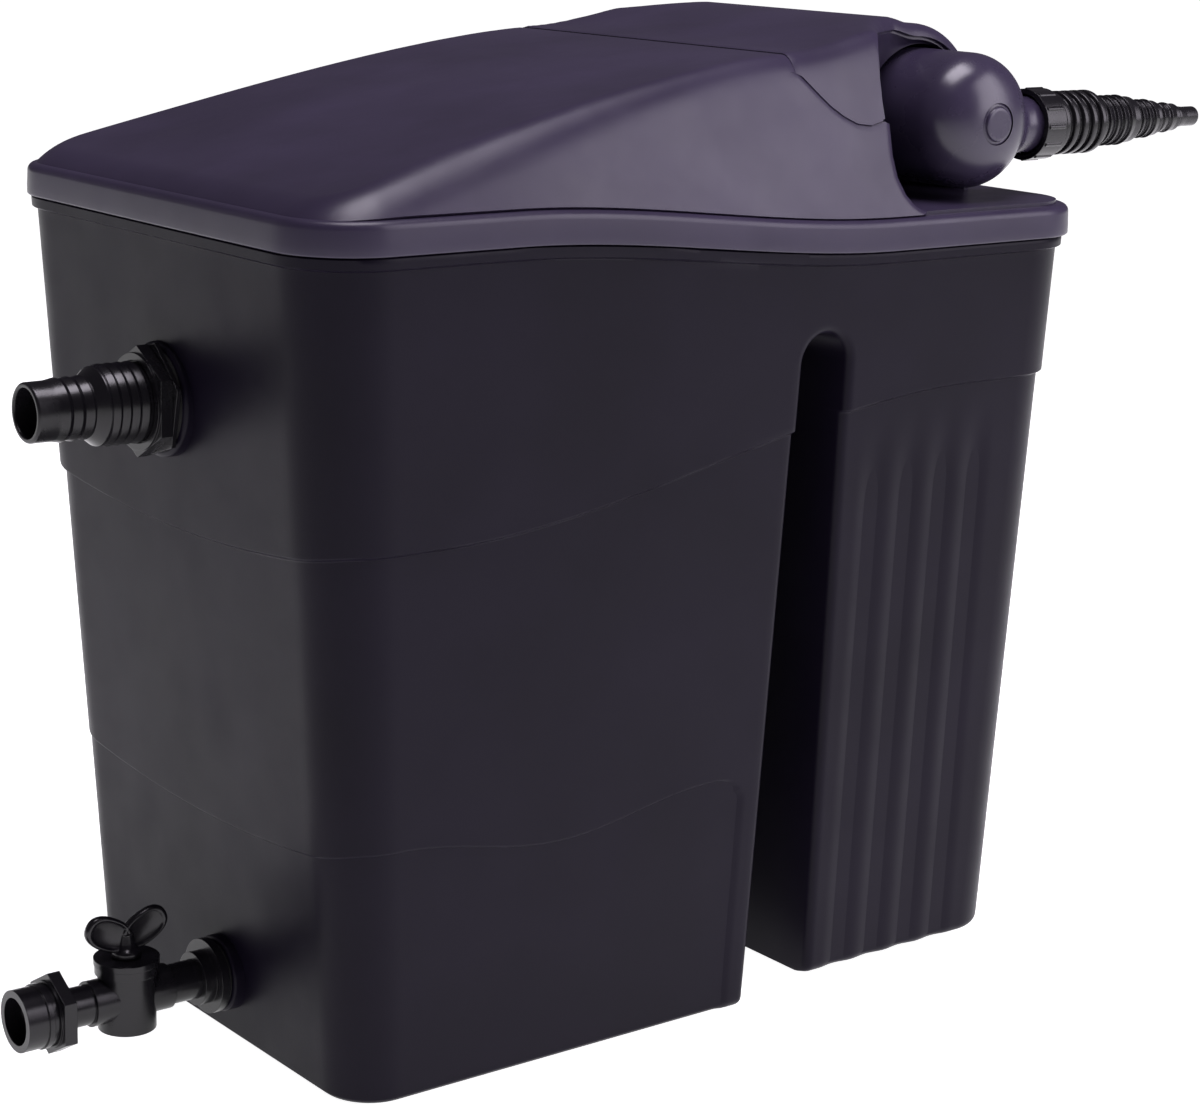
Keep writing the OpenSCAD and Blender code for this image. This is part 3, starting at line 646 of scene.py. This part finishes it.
def lid_flank(sheet, face, fractions):
    """The crown's side slope under the cover, from the seam to the bay."""
    reach = RIM_HALF_Y - CROWN_FOOT
    share = (1.0 - fractions) / (1.0 - fractions[-1])
    rows = []
    for x in spread((SEAM_X, BAY_X, 40)):
        depth = reach - solve_depth(x, float(lobe_z(x)))
        y = face * (reach - share * depth)
        z = crown_height(x + 0 * y, y)
        swing = ((x - SEAM_X) / (BAY_X - SEAM_X)) ** 3
        along = x + swing * (np.interp(z, BAY_Z, BAY_END) - BAY_X)
        rows.append(np.stack([along, y, z], 1))
    grid = np.array(rows)
    shelf = grid[:, -1:] - [0, face * 12.0, 3.0]
    sheet.grid(np.concatenate([grid, shelf], 1), face > 0)
    edge = grid[-1]
    wall = [edge + [4.0 * math.sin(a), -face * 4.0 * (1 - math.cos(a)), 0]
            for a in np.linspace(0, math.pi / 2, 6)]
    inner = wall[-1].copy()
    inner[:, 1] = face * (ARCH_Y - 8.0)
    sheet.grid(np.array(wall + [inner]), face > 0)


def lid_bay_wall(sheet):
    """The crown's end wall behind the clarifier's bay, closed down to the deck."""
    y = np.linspace(8.0 - ARCH_Y, ARCH_Y - 8.0, 24)
    top = np.stack([BAY_X + 3.0 + 0 * y, y, 505.0 + 0 * y], 1)
    sheet.grid(np.array([top, top * [1, 1, 0] + [0, 0, TRAY_Z - 1.0]]))


def solve_depth(x, z):
    """|y| at which the crown's side reaches height z at station x."""
    low, high = 60.0, RIM_HALF_Y - CROWN_FOOT
    for _ in range(24):
        middle = (low + high) / 2
        if float(crown_height(np.array(x), np.array(middle))) > z:
            low = middle
        else:
            high = middle
    return (low + high) / 2


def rim_outline(inset):
    """Closed run of points round the rim."""
    r = max(RIM_CORNER - inset, 1.0)
    cx, cy = RIM_HALF_X - inset - r, RIM_HALF_Y - inset - r
    points = []
    runs = [((-cx, -1), (cx, -1)), ((1, -cy), (1, cy)), ((cx, 1), (-cx, 1)), ((-1, cy), (-1, -cy))]
    starts = [-math.pi / 2, 0, math.pi / 2, math.pi]
    centres = [(cx, -cy), (cx, cy), (-cx, cy), (-cx, -cy)]
    steps = [90, 50, 90, 50]
    for k in range(4):
        (ax, ay), (bx, by) = runs[k]
        for s in np.linspace(0, 1, steps[k], endpoint=False):
            if k in (0, 2):
                points.append((ax + (bx - ax) * s, ay * (RIM_HALF_Y - inset)))
            else:
                points.append((ax * (RIM_HALF_X - inset), ay + (by - ay) * s))
        for a in np.linspace(0, math.pi / 2, 16, endpoint=False):
            ox, oy = centres[k]
            points.append((ox + r * math.cos(starts[k] + a), oy + r * math.sin(starts[k] + a)))
    points.append(points[0])
    return np.array(points)


def lid_rim(sheet):
    """Rim band with a rounded shoulder, following the rim's wave."""
    turns = np.linspace(0, math.pi / 2, 7)
    profile = [(3.0, 6.0), (3.0, 0.0), (0.6, 0.0), (0.1, 0.5), (0.0, 1.2), (0.0, 5.0), (0.2, 8.0)]
    profile += [(0.4 + 4.5 * (1 - math.cos(a)), RIM_H - 4.5 + 4.5 * math.sin(a)) for a in turns]
    profile += [(7.0, RIM_H), (9.5, RIM_H)]
    rows = []
    for inset, up in profile:
        plan = rim_outline(inset)
        z = rim_z(plan[:, 0]) + up
        rows.append(np.stack([plan[:, 0], plan[:, 1], z], 1))
    sheet.grid(np.array(rows))


def lid_tray(sheet):
    """Flat deck that carries the clarifier at the right end."""
    r = RIM_CORNER - 8.0
    end, reach = RIM_HALF_X - 8.0, RIM_HALF_Y - 8.0
    bend = end - r + r * np.sin(np.linspace(0, math.pi / 2, 14))
    xs = np.concatenate([np.linspace(SEAM_X - 4, end - r, 30), bend[1:]])
    rows = []
    for x in xs:
        into = max(x - (end - r), 0.0)
        half = reach - r + math.sqrt(max(r * r - into * into, 0.01))
        y = np.linspace(-half, half, 40)
        rows.append(np.stack([x + 0 * y, y, rim_top(x + 0 * y) - 0.15], 1))
    sheet.grid(np.array(rows))


def build_lid():
    sheet = Sheet()
    lid_crown(sheet)
    lid_rim(sheet)
    lid_tray(sheet)
    obj = sheet.build("lid_shell", sharp=38.0, solid=2.4)
    return finish_piece(obj, "lid_unit", LID_PLASTIC, "lid_black", "lid")


def arch_profile():
    """Cover's section across the clarifier: ridge, arch and right wall."""
    ridge = [(x, float(cover_top(x))) for x in np.linspace(ARCH_FROM, ARCH_X, 8)]
    arc = [(ARCH_X + ARCH_R * math.sin(a), ARCH_Z + ARCH_R * math.cos(a))
           for a in np.linspace(0, math.pi / 2, 30)[1:]]
    wall = [(ARCH_X + ARCH_R, z) for z in np.linspace(ARCH_Z, TRAY_Z + 0.3, 8)[1:]]
    return np.array(ridge + arc + wall)


def profile_normals(points):
    along = np.gradient(points, axis=0)
    normal = np.stack([-along[:, 1], along[:, 0]], 1)
    return normal / np.linalg.norm(normal, axis=1)[:, None]


def cover_fractions():
    """Shares of the half depth used by every row of the cover, dense at its rounded rim."""
    turns = np.linspace(0, math.pi / 2, 8)
    edge = 1.0 - ARCH_FILLET / ARCH_Y * (1 - np.sin(turns[::-1]))
    middle = np.linspace(edge[-1], -edge[-1], 110)
    return np.concatenate([-edge, -middle[1:-1], edge[::-1]])


def edge_sink(v):
    """How far the rounded rim of the arch drops at each share of the half depth."""
    u = np.clip((np.abs(v) - 1.0) * ARCH_Y / ARCH_FILLET + 1.0, 0.0, 1.0)
    return ARCH_FILLET * (1.0 - np.sqrt(np.maximum(1.0 - u * u, 0.0)))


def cover_reach(x):
    """Half depth of the cover at a station: its lobe, then the mouth round the clarifier."""
    if x <= BAY_X:
        return solve_depth(x, float(lobe_z(x)) + 0.8)
    return float(np.interp(x, MOUTH_X, MOUTH_Y))


def cover_skin(sheet):
    """The cover from the seam over the ridge and down the arch; returns its mouth edges."""
    v = cover_fractions()
    sink = edge_sink(v)
    rows = []
    mouth = []
    for x in spread((SEAM_X + 1.6, BAY_X, 36), (BAY_X, 140.0, 22), (140.0, ARCH_FROM, 18)):
        y = v * cover_reach(x)
        z = crown_height(x + 0 * y, y) + SKIN_GAP
        z = z - sink * float(ease((x - BAY_X) / 45.0))
        rows.append(np.stack([x + 0 * y, y, z], 1))
        if x >= BAY_X:
            mouth.append(rows[-1])
    profile = arch_profile()
    normal = profile_normals(profile)
    for point, side in zip(profile[1:], normal[1:]):
        x = point[0] - side[0] * sink
        z = point[1] - side[1] * sink + SKIN_GAP
        rows.append(np.stack([x, v * ARCH_Y, z], 1))
        mouth.append(rows[-1])
    first = rows[0] - [0, 0, 7.0]
    sheet.grid(np.array([first] + rows))
    mouth = np.array(mouth)
    return mouth[:, 0], mouth[:, -1]


def cover_end(sheet, face, edge):
    """End wall of the cover, drawn in from its edge to the opening round the tube."""
    jamb_z = np.linspace(TRAY_Z + 0.3, 503.0, 14)
    jamb = np.stack([124.0 + 0 * jamb_z, face * (ARCH_Y - 1.0) + 0 * jamb_z, jamb_z], 1)
    outer = np.concatenate([jamb, edge])
    gap = UV_R + 2.3
    dx, dz = outer[:, 0] - UV_X, outer[:, 2] - UV_Z
    far = np.hypot(dx, dz)
    ring_x = np.where(dz > 0, UV_X + gap * dx / far, UV_X + gap * np.sign(dx))
    ring_z = np.where(dz > 0, UV_Z + gap * dz / far, outer[:, 2])
    ring = np.stack([ring_x, face * (ARCH_Y - 4.0) + 0 * ring_x, ring_z], 1)
    rows = []
    for s in np.linspace(0, 1, 10):
        row = outer * (1 - s) + ring * s
        row[:, 1] = outer[:, 1] + (ring[:, 1] - outer[:, 1]) * math.sin(s * math.pi / 2)
        rows.append(row)
    sheet.grid(np.array(rows + [ring - [0, face * 4.0, 0]]), face < 0)


def build_cover():
    sheet = Sheet()
    front, back = cover_skin(sheet)
    cover_end(sheet, -1.0, front)
    cover_end(sheet, 1.0, back)
    for y in (-60.0, 60.0):
        ear = [(241.5, y - 9), (263.0, y - 9), (263.0, y + 9), (241.5, y + 9)]
        low = np.array([[x, yy, TRAY_Z] for x, yy in ear + ear[:1]])
        high = low + [0, 0, 4.0]
        sheet.grid(np.array([low, high]))
        sheet.polygon(high[:4])
    obj = sheet.build("clarifier_cover", sharp=38.0, solid=2.2)
    return finish_piece(obj, "cover_unit", LID_PLASTIC, "lid_black", "uv_cover")


# ------------------------------------------------------------------ clarifier
def dome_stations():
    """Tube with a soft domed front end, from its back edge to the middle of the dome."""
    back = [(TUBE_BACK_Y, UV_R - 3.0), (TUBE_BACK_Y, UV_R + 1.9), (TUBE_BACK_Y - 0.6, UV_R + 2.5),
            (TUBE_BACK_Y - 7.4, UV_R + 2.5), (TUBE_BACK_Y - 8.0, UV_R + 1.9),
            (TUBE_BACK_Y - 8.2, UV_R)]
    tube = [(y, UV_R) for y in np.linspace(TUBE_BACK_Y - 12, DOME_ROOT_Y + 4, 12)]
    length = DOME_TIP_Y - DOME_ROOT_Y
    dome = [(DOME_ROOT_Y + length * math.sin(a) ** 0.95, UV_R * math.cos(a) ** 0.8)
            for a in np.linspace(0.02, math.pi / 2 - 0.02, 44)]
    return back + tube + [s for s in dome if s[1] > 11.0]


def build_clarifier():
    sheet = Sheet()
    centre = (UV_X, 0.0, UV_Z)
    lathe_grid(sheet, dome_stations(), centre, (0, 1, 0), 128)
    tip = DOME_TIP_Y
    disc = [(tip + 1.7, 12.2, 0), (tip + 0.6, 10.4, 0.5), (tip + 1.2, 10.0, 0.2),
            (tip - 0.6, 9.6, 0.6), (tip - 0.9, 8.0, 0.6), (tip - 0.9, 0.05, 0)]
    lathe_grid(sheet, [(t, r) for t, r in rounded_profile(disc)], centre, (0, 1, 0), 64)
    stub = [(26.0, 24.0, 0), (36.0, 20.5, 6.0), (43.0, 16.7, 6.0), (50.0, 16.5, 0),
            (61.2, 16.5, 0.6), (62.0, 15.7, 0.4), (62.0, 13.0, 0), (40.0, 13.0, 0)]
    lathe_grid(sheet, rounded_profile(stub), (UV_X, STUB_Y, STUB_Z), (1, 0, 0))
    spigot = [(TRAY_Z - 17.0, 17.0, 0), (TRAY_Z - 17.0, 20.0, 0), (UV_Z - 34.0, 20.0, 0)]
    lathe_grid(sheet, [(t, r) for t, r, _ in spigot], (UV_X, 60.0, 0), (0, 0, 1), 64)
    for y in (-40.0, 30.0):
        saddle(sheet, y)
    obj = sheet.build("clarifier_housing", sharp=40.0)
    return finish_piece(obj, "lid_unit", LID_PARTS, "lid_black", "uv_housing", "uv_end_disc")


def saddle(sheet, y):
    """A foot under the clarifier tube, with rounded ends."""
    turns = np.linspace(0, 2 * math.pi, 49)
    plan = np.stack([36.0 * np.sign(np.cos(turns)) * np.abs(np.cos(turns)) ** 0.35 + UV_X,
                     8.0 * np.sign(np.sin(turns)) * np.abs(np.sin(turns)) ** 0.35 + y], 1)
    low = np.column_stack([plan, np.full(49, TRAY_Z)])
    high = np.column_stack([plan, np.full(49, TRAY_Z + 6.0)])
    sheet.grid(np.array([low, high]))
    sheet.polygon(high[:-1])


# ------------------------------------------------------------------ hose fittings
def hose_barbs(start, stop, radius, ridge, count):
    """Stations of one hose step with its saw-tooth ridges, root end first."""
    stations = []
    pitch = (stop - start) / count
    for i in range(count):
        a = start + pitch * i
        stations += [(a, radius, 0.3), (a + pitch * 0.12, radius + ridge, 0.4),
                     (a + pitch * 0.85, radius, 0.5)]
    return stations


def build_inlet_tail():
    sheet = Sheet()
    stations = [(272.0, 13.8, 0), (273.0, 16.6, 0.6)]
    for i in range(5):
        a = 273.6 + i * 7.8
        stations += [(a, 16.6, 0.4), (a + 0.5, 19.0, 0.9), (a + 4.3, 19.0, 0.9),
                     (a + 4.9, 16.6, 0.4)]
    stations += [(313.0, 16.6, 0.8), (315.0, 14.4, 0.8)]
    stations += hose_barbs(316.0, 341.0, 13.8, 1.6, 4) + [(345.0, 14.0, 0.8), (347.5, 11.2, 0.6)]
    stations += hose_barbs(349.0, 366.0, 10.6, 1.4, 3) + [(368.0, 10.8, 0.6), (370.0, 8.8, 0.5)]
    stations += hose_barbs(371.0, 385.0, 8.2, 1.2, 2) + [(387.0, 8.4, 0.5), (389.0, 6.3, 0.4)]
    stations += [(390.5, 6.6, 0.4), (396.0, 6.0, 0.4), (406.2, 6.0, 0.5), (407.0, 5.2, 0.4),
                 (407.0, 3.8, 0.2), (385.0, 3.8, 0)]
    lathe_grid(sheet, rounded_profile(stations), (0, STUB_Y, STUB_Z), (1, 0, 0), 80)
    obj = sheet.build("inlet_stepped_tail", sharp=50.0)
    return finish_piece(obj, "lid_unit", FITTING, "fitting_black", "inlet_hose_tail")


def build_outlet_tail():
    sheet = Sheet()
    stations = [(-240.0, 17.0, 0), (-240.0, 21.0, 0), (-279.0, 21.0, 0.3)]
    for i in range(4):
        a = -280.0 - i * 5.6
        stations += [(a, 21.0, 0.4), (a - 0.9, 22.0, 0.4), (a - 4.8, 21.1, 0.4)]
    stations += [(-303.5, 21.1, 0.6), (-304.5, 20.2, 0.6), (-308.0, 17.4, 0.8)]
    for i in range(3):
        a = -309.0 - i * 7.0
        stations += [(a, 16.4, 0.4), (a - 1.1, 17.0, 0.4), (a - 6.2, 16.1, 0.4)]
    stations += [(-331.0, 16.0, 0), (-341.0, 16.0, 0.8), (-342.0, 15.2, 0.6), (-342.0, 13.4, 0.5),
                 (-341.0, 13.0, 0.3), (-304.0, 13.0, 0)]
    lathe_grid(sheet, rounded_profile(stations), (0, 0, OUTLET_Z), (1, 0, 0))
    obj = sheet.build("outlet_stepped_tail", sharp=50.0)
    return finish_piece(obj, "tub_unit", FITTING, "fitting_black", "outlet_hose_tail")


def paddle(sheet, centre, tilt, half_long, half_wide, thick):
    """One wing of the tap key: a flat oval with a raised, rounded rim."""
    profile = [(0.02, -0.45), (0.70, -0.45), (0.76, -0.62), (0.80, -0.92), (0.86, -1.0),
               (0.93, -0.9), (0.985, -0.6), (1.0, -0.2)]
    profile += [(r, -t) for r, t in profile[::-1]]
    turn = np.linspace(0, 2 * math.pi, 57)
    rows = []
    for r, t in profile:
        a = np.sign(np.cos(turn)) * np.abs(np.cos(turn)) ** 0.85 * half_long * r
        b = np.sign(np.sin(turn)) * np.abs(np.sin(turn)) ** 0.85 * half_wide * r
        x = centre[0] + a * math.cos(tilt) - b * math.sin(tilt)
        z = centre[2] + a * math.sin(tilt) + b * math.cos(tilt)
        rows.append(np.stack([x, centre[1] + t * thick + 0 * x, z], 1))
    sheet.grid(np.array(rows))


def build_tap_key():
    low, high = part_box("drain_handle")
    x, y = (low.x + high.x) / 2 / MM, (low.y + high.y) / 2 / MM
    bottom, top, half = low.z / MM, high.z / MM, (high.x - low.x) / 2 / MM
    sheet = Sheet()
    long, wide = half * 0.60, (top - bottom) * 0.37
    for side in (-1.0, 1.0):
        tilt = side * math.radians(27.0)
        reach = half - long * math.cos(tilt) - 0.4
        rise = top - 0.3 - math.hypot(long * math.sin(tilt), wide * math.cos(tilt))
        paddle(sheet, (x + side * reach, y, rise), tilt, long, wide, 2.4)
    hub = [(bottom, 4.2, 0), (bottom, 8.2, 0.5), (bottom + 3.4, 8.0, 1.2),
           (bottom + 6.0, 4.9, 1.5), (bottom + 12.5, 3.6, 0.5)]
    lathe_grid(sheet, rounded_profile(hub), (x, y, 0), (0, 0, 1), 48)
    obj = sheet.build("tap_wing_key", sharp=50.0)
    return finish_piece(obj, "tap_key", FITTING, "fitting_black", "drain_handle")


# ------------------------------------------------------------------ media
def rough_block(name, low, high, cell, depth, seed):
    """A cut foam block: a fine skin with softly uneven faces inside its CAD box."""
    rng = np.random.default_rng(seed)
    bm = bmesh.new()
    bmesh.ops.create_cube(bm, size=1.0)
    for vert in bm.verts:
        vert.co = Vector([low[i] + (vert.co[i] + 0.5) * (high[i] - low[i]) for i in range(3)])
    bmesh.ops.bevel(bm, geom=list(bm.edges), offset=2.5 * MM, segments=2, affect="EDGES")
    longest = max(high[i] - low[i] for i in range(3))
    for _ in range(int(math.log2(longest / cell))):
        long_edges = [e for e in bm.edges if e.calc_length() > cell]
        bmesh.ops.subdivide_edges(bm, edges=long_edges, cuts=1, use_grid_fill=True)
    bm.normal_update()
    push = rng.random(len(bm.verts)) * depth
    normals = [vert.normal.copy() for vert in bm.verts]
    for vert, normal, amount in zip(bm.verts, normals, push):
        vert.co -= normal * amount
    mesh = bpy.data.meshes.new(name)
    for face in bm.faces:
        face.smooth = True
    bm.to_mesh(mesh)
    bm.free()
    obj = bpy.data.objects.new(name, mesh)
    bpy.context.scene.collection.objects.link(obj)
    return obj


def build_foams():
    mats = (("foam_coarse", FOAM_BLUE, "foam_blue"), ("foam_medium", FOAM_GREEN, "foam_green"),
            ("foam_fine", FOAM_CREAM, "foam_cream"))
    for seed, (node, material, slot_name) in enumerate(mats):
        low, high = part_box(node)
        obj = rough_block(node + "_mat", low, high, 0.012, 0.0007, seed + 3)
        finish_piece(obj, "tub_unit", material, slot_name, node)


def build_brushes():
    """Twisted-wire brushes: bristles fan out in a spiral round each stem."""
    rng = np.random.default_rng(17)
    low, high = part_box("filter_brushes")
    radius = (high.x - low.x) / 2
    centre_x = (high.x + low.x) / 2
    verts, faces = [], []
    rows = [low.y + radius + i * (high.y - low.y - 2 * radius) / 4 for i in range(5)]
    for centre_y in rows:
        for k in range(1500):
            z = low.z + 0.003 + (high.z - low.z - 0.006) * k / 1500
            angle = k * 2.39996 + rng.normal() * 0.1
            reach = radius * (0.9 + 0.1 * rng.random())
            out = Vector((math.cos(angle), math.sin(angle), 0))
            side = Vector((-out.y, out.x, 0)) * 0.0005
            start = Vector((centre_x, centre_y, z)) + out * 0.0018
            tip = Vector((centre_x, centre_y, z + rng.normal() * 0.0012)) + out * reach
            base = len(verts)
            rise = Vector((0, 0, 0.0005))
            verts += [start - side, start + side, start + rise, tip - side, tip + side, tip + rise]
            for a, b in ((0, 1), (1, 2), (2, 0)):
                faces.append((base + a, base + b, base + b + 3, base + a + 3))
            faces.append((base + 3, base + 4, base + 5))
    mesh = bpy.data.meshes.new("filter_brush_bristles")
    mesh.from_pydata(verts, [], faces)
    obj = bpy.data.objects.new("filter_brush_bristles", mesh)
    bpy.context.scene.collection.objects.link(obj)
    finish_piece(obj, "tub_unit", BRISTLE, "bristle_green", "filter_brushes")


# ------------------------------------------------------------------ carried-over nodes
SLOT_MATERIALS = {
    "tub_black": TUB_PLASTIC, "lid_black": LID_PARTS, "fitting_black": FITTING,
    "inner_black": INNER, "rubber_black": RUBBER, "stainless": STEEL, "quartz": QUARTZ,
    "lamp_white": LAMP_GLASS, "seat_white": SEAT_WHITE, "foam_blue": FOAM_BLUE,
    "foam_green": FOAM_GREEN, "foam_cream": FOAM_CREAM, "ceramic": CERAMIC,
    "bristle_green": BRISTLE,
}


def dress_frame():
    """Gives every carried-over CAD node the material of its slot."""
    slots = {row["node"]: row["material_slot"] for row in frame["record"]["subparts"]}
    for node, obj in frame["nodes"].items():
        material = SLOT_MATERIALS[slots[node]]
        obj.data.materials.clear()
        obj.data.materials.append(material)


# ------------------------------------------------------------------ stage
CAMERA = {"azimuth": -37.1, "elevation": 14.0, "roll": 1.4, "rise": 0.2337, "distance": 1.7381,
          "focal_widths": 2.3537, "shift": (0.0487, 0.0060)}
LIGHT_TINT = (0.95, 0.89, 1.0)
FLOOR_HALF, FLOOR_GLOW, WORLD_STRENGTH = 40.0, 1.22, 0.08
# name, place, aim, width and height, all in metres, then watts
LIGHTS = (
    ("left_softbox", (-1.7, 1.7, 0.9), (-0.25, 0, 0.30), (1.4, 1.6), 1.6),
    ("top_softbox", (0.05, -0.25, 2.3), (0.05, 0.0, 0.5), (1.2, 1.0), 46.0),
    ("front_softbox", (1.45, -1.75, 1.45), (0.0, -0.15, 0.40), (1.5, 1.9), 50.0),
)


def add_camera():
    """Camera at the photo's viewing angle."""
    data = bpy.data.cameras.new("view_camera")
    data.sensor_width = 36.0
    data.lens = 36.0 * CAMERA["focal_widths"]
    data.shift_x, data.shift_y = CAMERA["shift"]
    data.clip_end = 20.0
    obj = bpy.data.objects.new("view_camera", data)
    bpy.context.scene.collection.objects.link(obj)
    az, el = math.radians(CAMERA["azimuth"]), math.radians(CAMERA["elevation"])
    back = Vector((math.sin(az) * math.cos(el), -math.cos(az) * math.cos(el), math.sin(el)))
    right = (-back).cross(Vector((0, 0, 1))).normalized()
    up = right.cross(-back)
    turn = Matrix((right, up, back)).transposed() @ Matrix.Rotation(
        math.radians(CAMERA["roll"]), 3, "Z")
    place = turn @ Vector((0.0, CAMERA["rise"], CAMERA["distance"]))
    obj.matrix_world = Matrix.Translation(place) @ turn.to_4x4()
    bpy.context.scene.camera = obj


def area_light(name, place, aim, size, power):
    data = bpy.data.lights.new(name, "AREA")
    data.shape = "RECTANGLE"
    data.size, data.size_y = size
    data.energy = power
    data.color = LIGHT_TINT
    obj = bpy.data.objects.new(name, data)
    bpy.context.scene.collection.objects.link(obj)
    place, aim = Vector(place), Vector(aim)
    turn = (place - aim).to_track_quat("Z", "Y").to_matrix().to_4x4()
    obj.matrix_world = Matrix.Translation(place) @ turn


def floor_material():
    """Pale paper with a slight glow, so that the ground stays white round the object."""
    mat, tree, shader, coords = node_material("floor_paper")
    cloud = noise(tree, coords, 3.0)
    tone = ramp(tree, cloud.outputs["Fac"], (0.80, 0.80, 0.80), (0.815, 0.815, 0.815))
    tree.links.new(tone.outputs["Color"], shader.inputs["Base Color"])
    tree.links.new(tone.outputs["Color"], shader.inputs["Emission Color"])
    shader.inputs["Emission Strength"].default_value = FLOOR_GLOW
    shader.inputs["Roughness"].default_value = 0.9
    return mat


def add_floor():
    mesh = bpy.data.meshes.new("floor")
    half = FLOOR_HALF
    mesh.from_pydata([(-half, -half, 0), (half, -half, 0), (half, half, 0), (-half, half, 0)],
                     [], [(0, 1, 2, 3)])
    floor = bpy.data.objects.new("floor", mesh)
    bpy.context.scene.collection.objects.link(floor)
    mesh.materials.append(floor_material())


def add_world():
    world = bpy.data.worlds.new("studio")
    world.use_nodes = True
    background = world.node_tree.nodes["Background"]
    background.inputs["Color"].default_value = (*LIGHT_TINT, 1.0)
    background.inputs["Strength"].default_value = WORLD_STRENGTH
    bpy.context.scene.world = world


def add_stage():
    add_floor()
    add_world()
    for light in LIGHTS:
        area_light(*light)
    bpy.context.scene.view_settings.view_transform = "Standard"


add_camera()
dress_frame()
build_tub()
build_lid()
build_cover()
build_clarifier()
build_inlet_tail()
build_outlet_tail()
build_tap_key()
build_foams()
build_brushes()
add_stage()
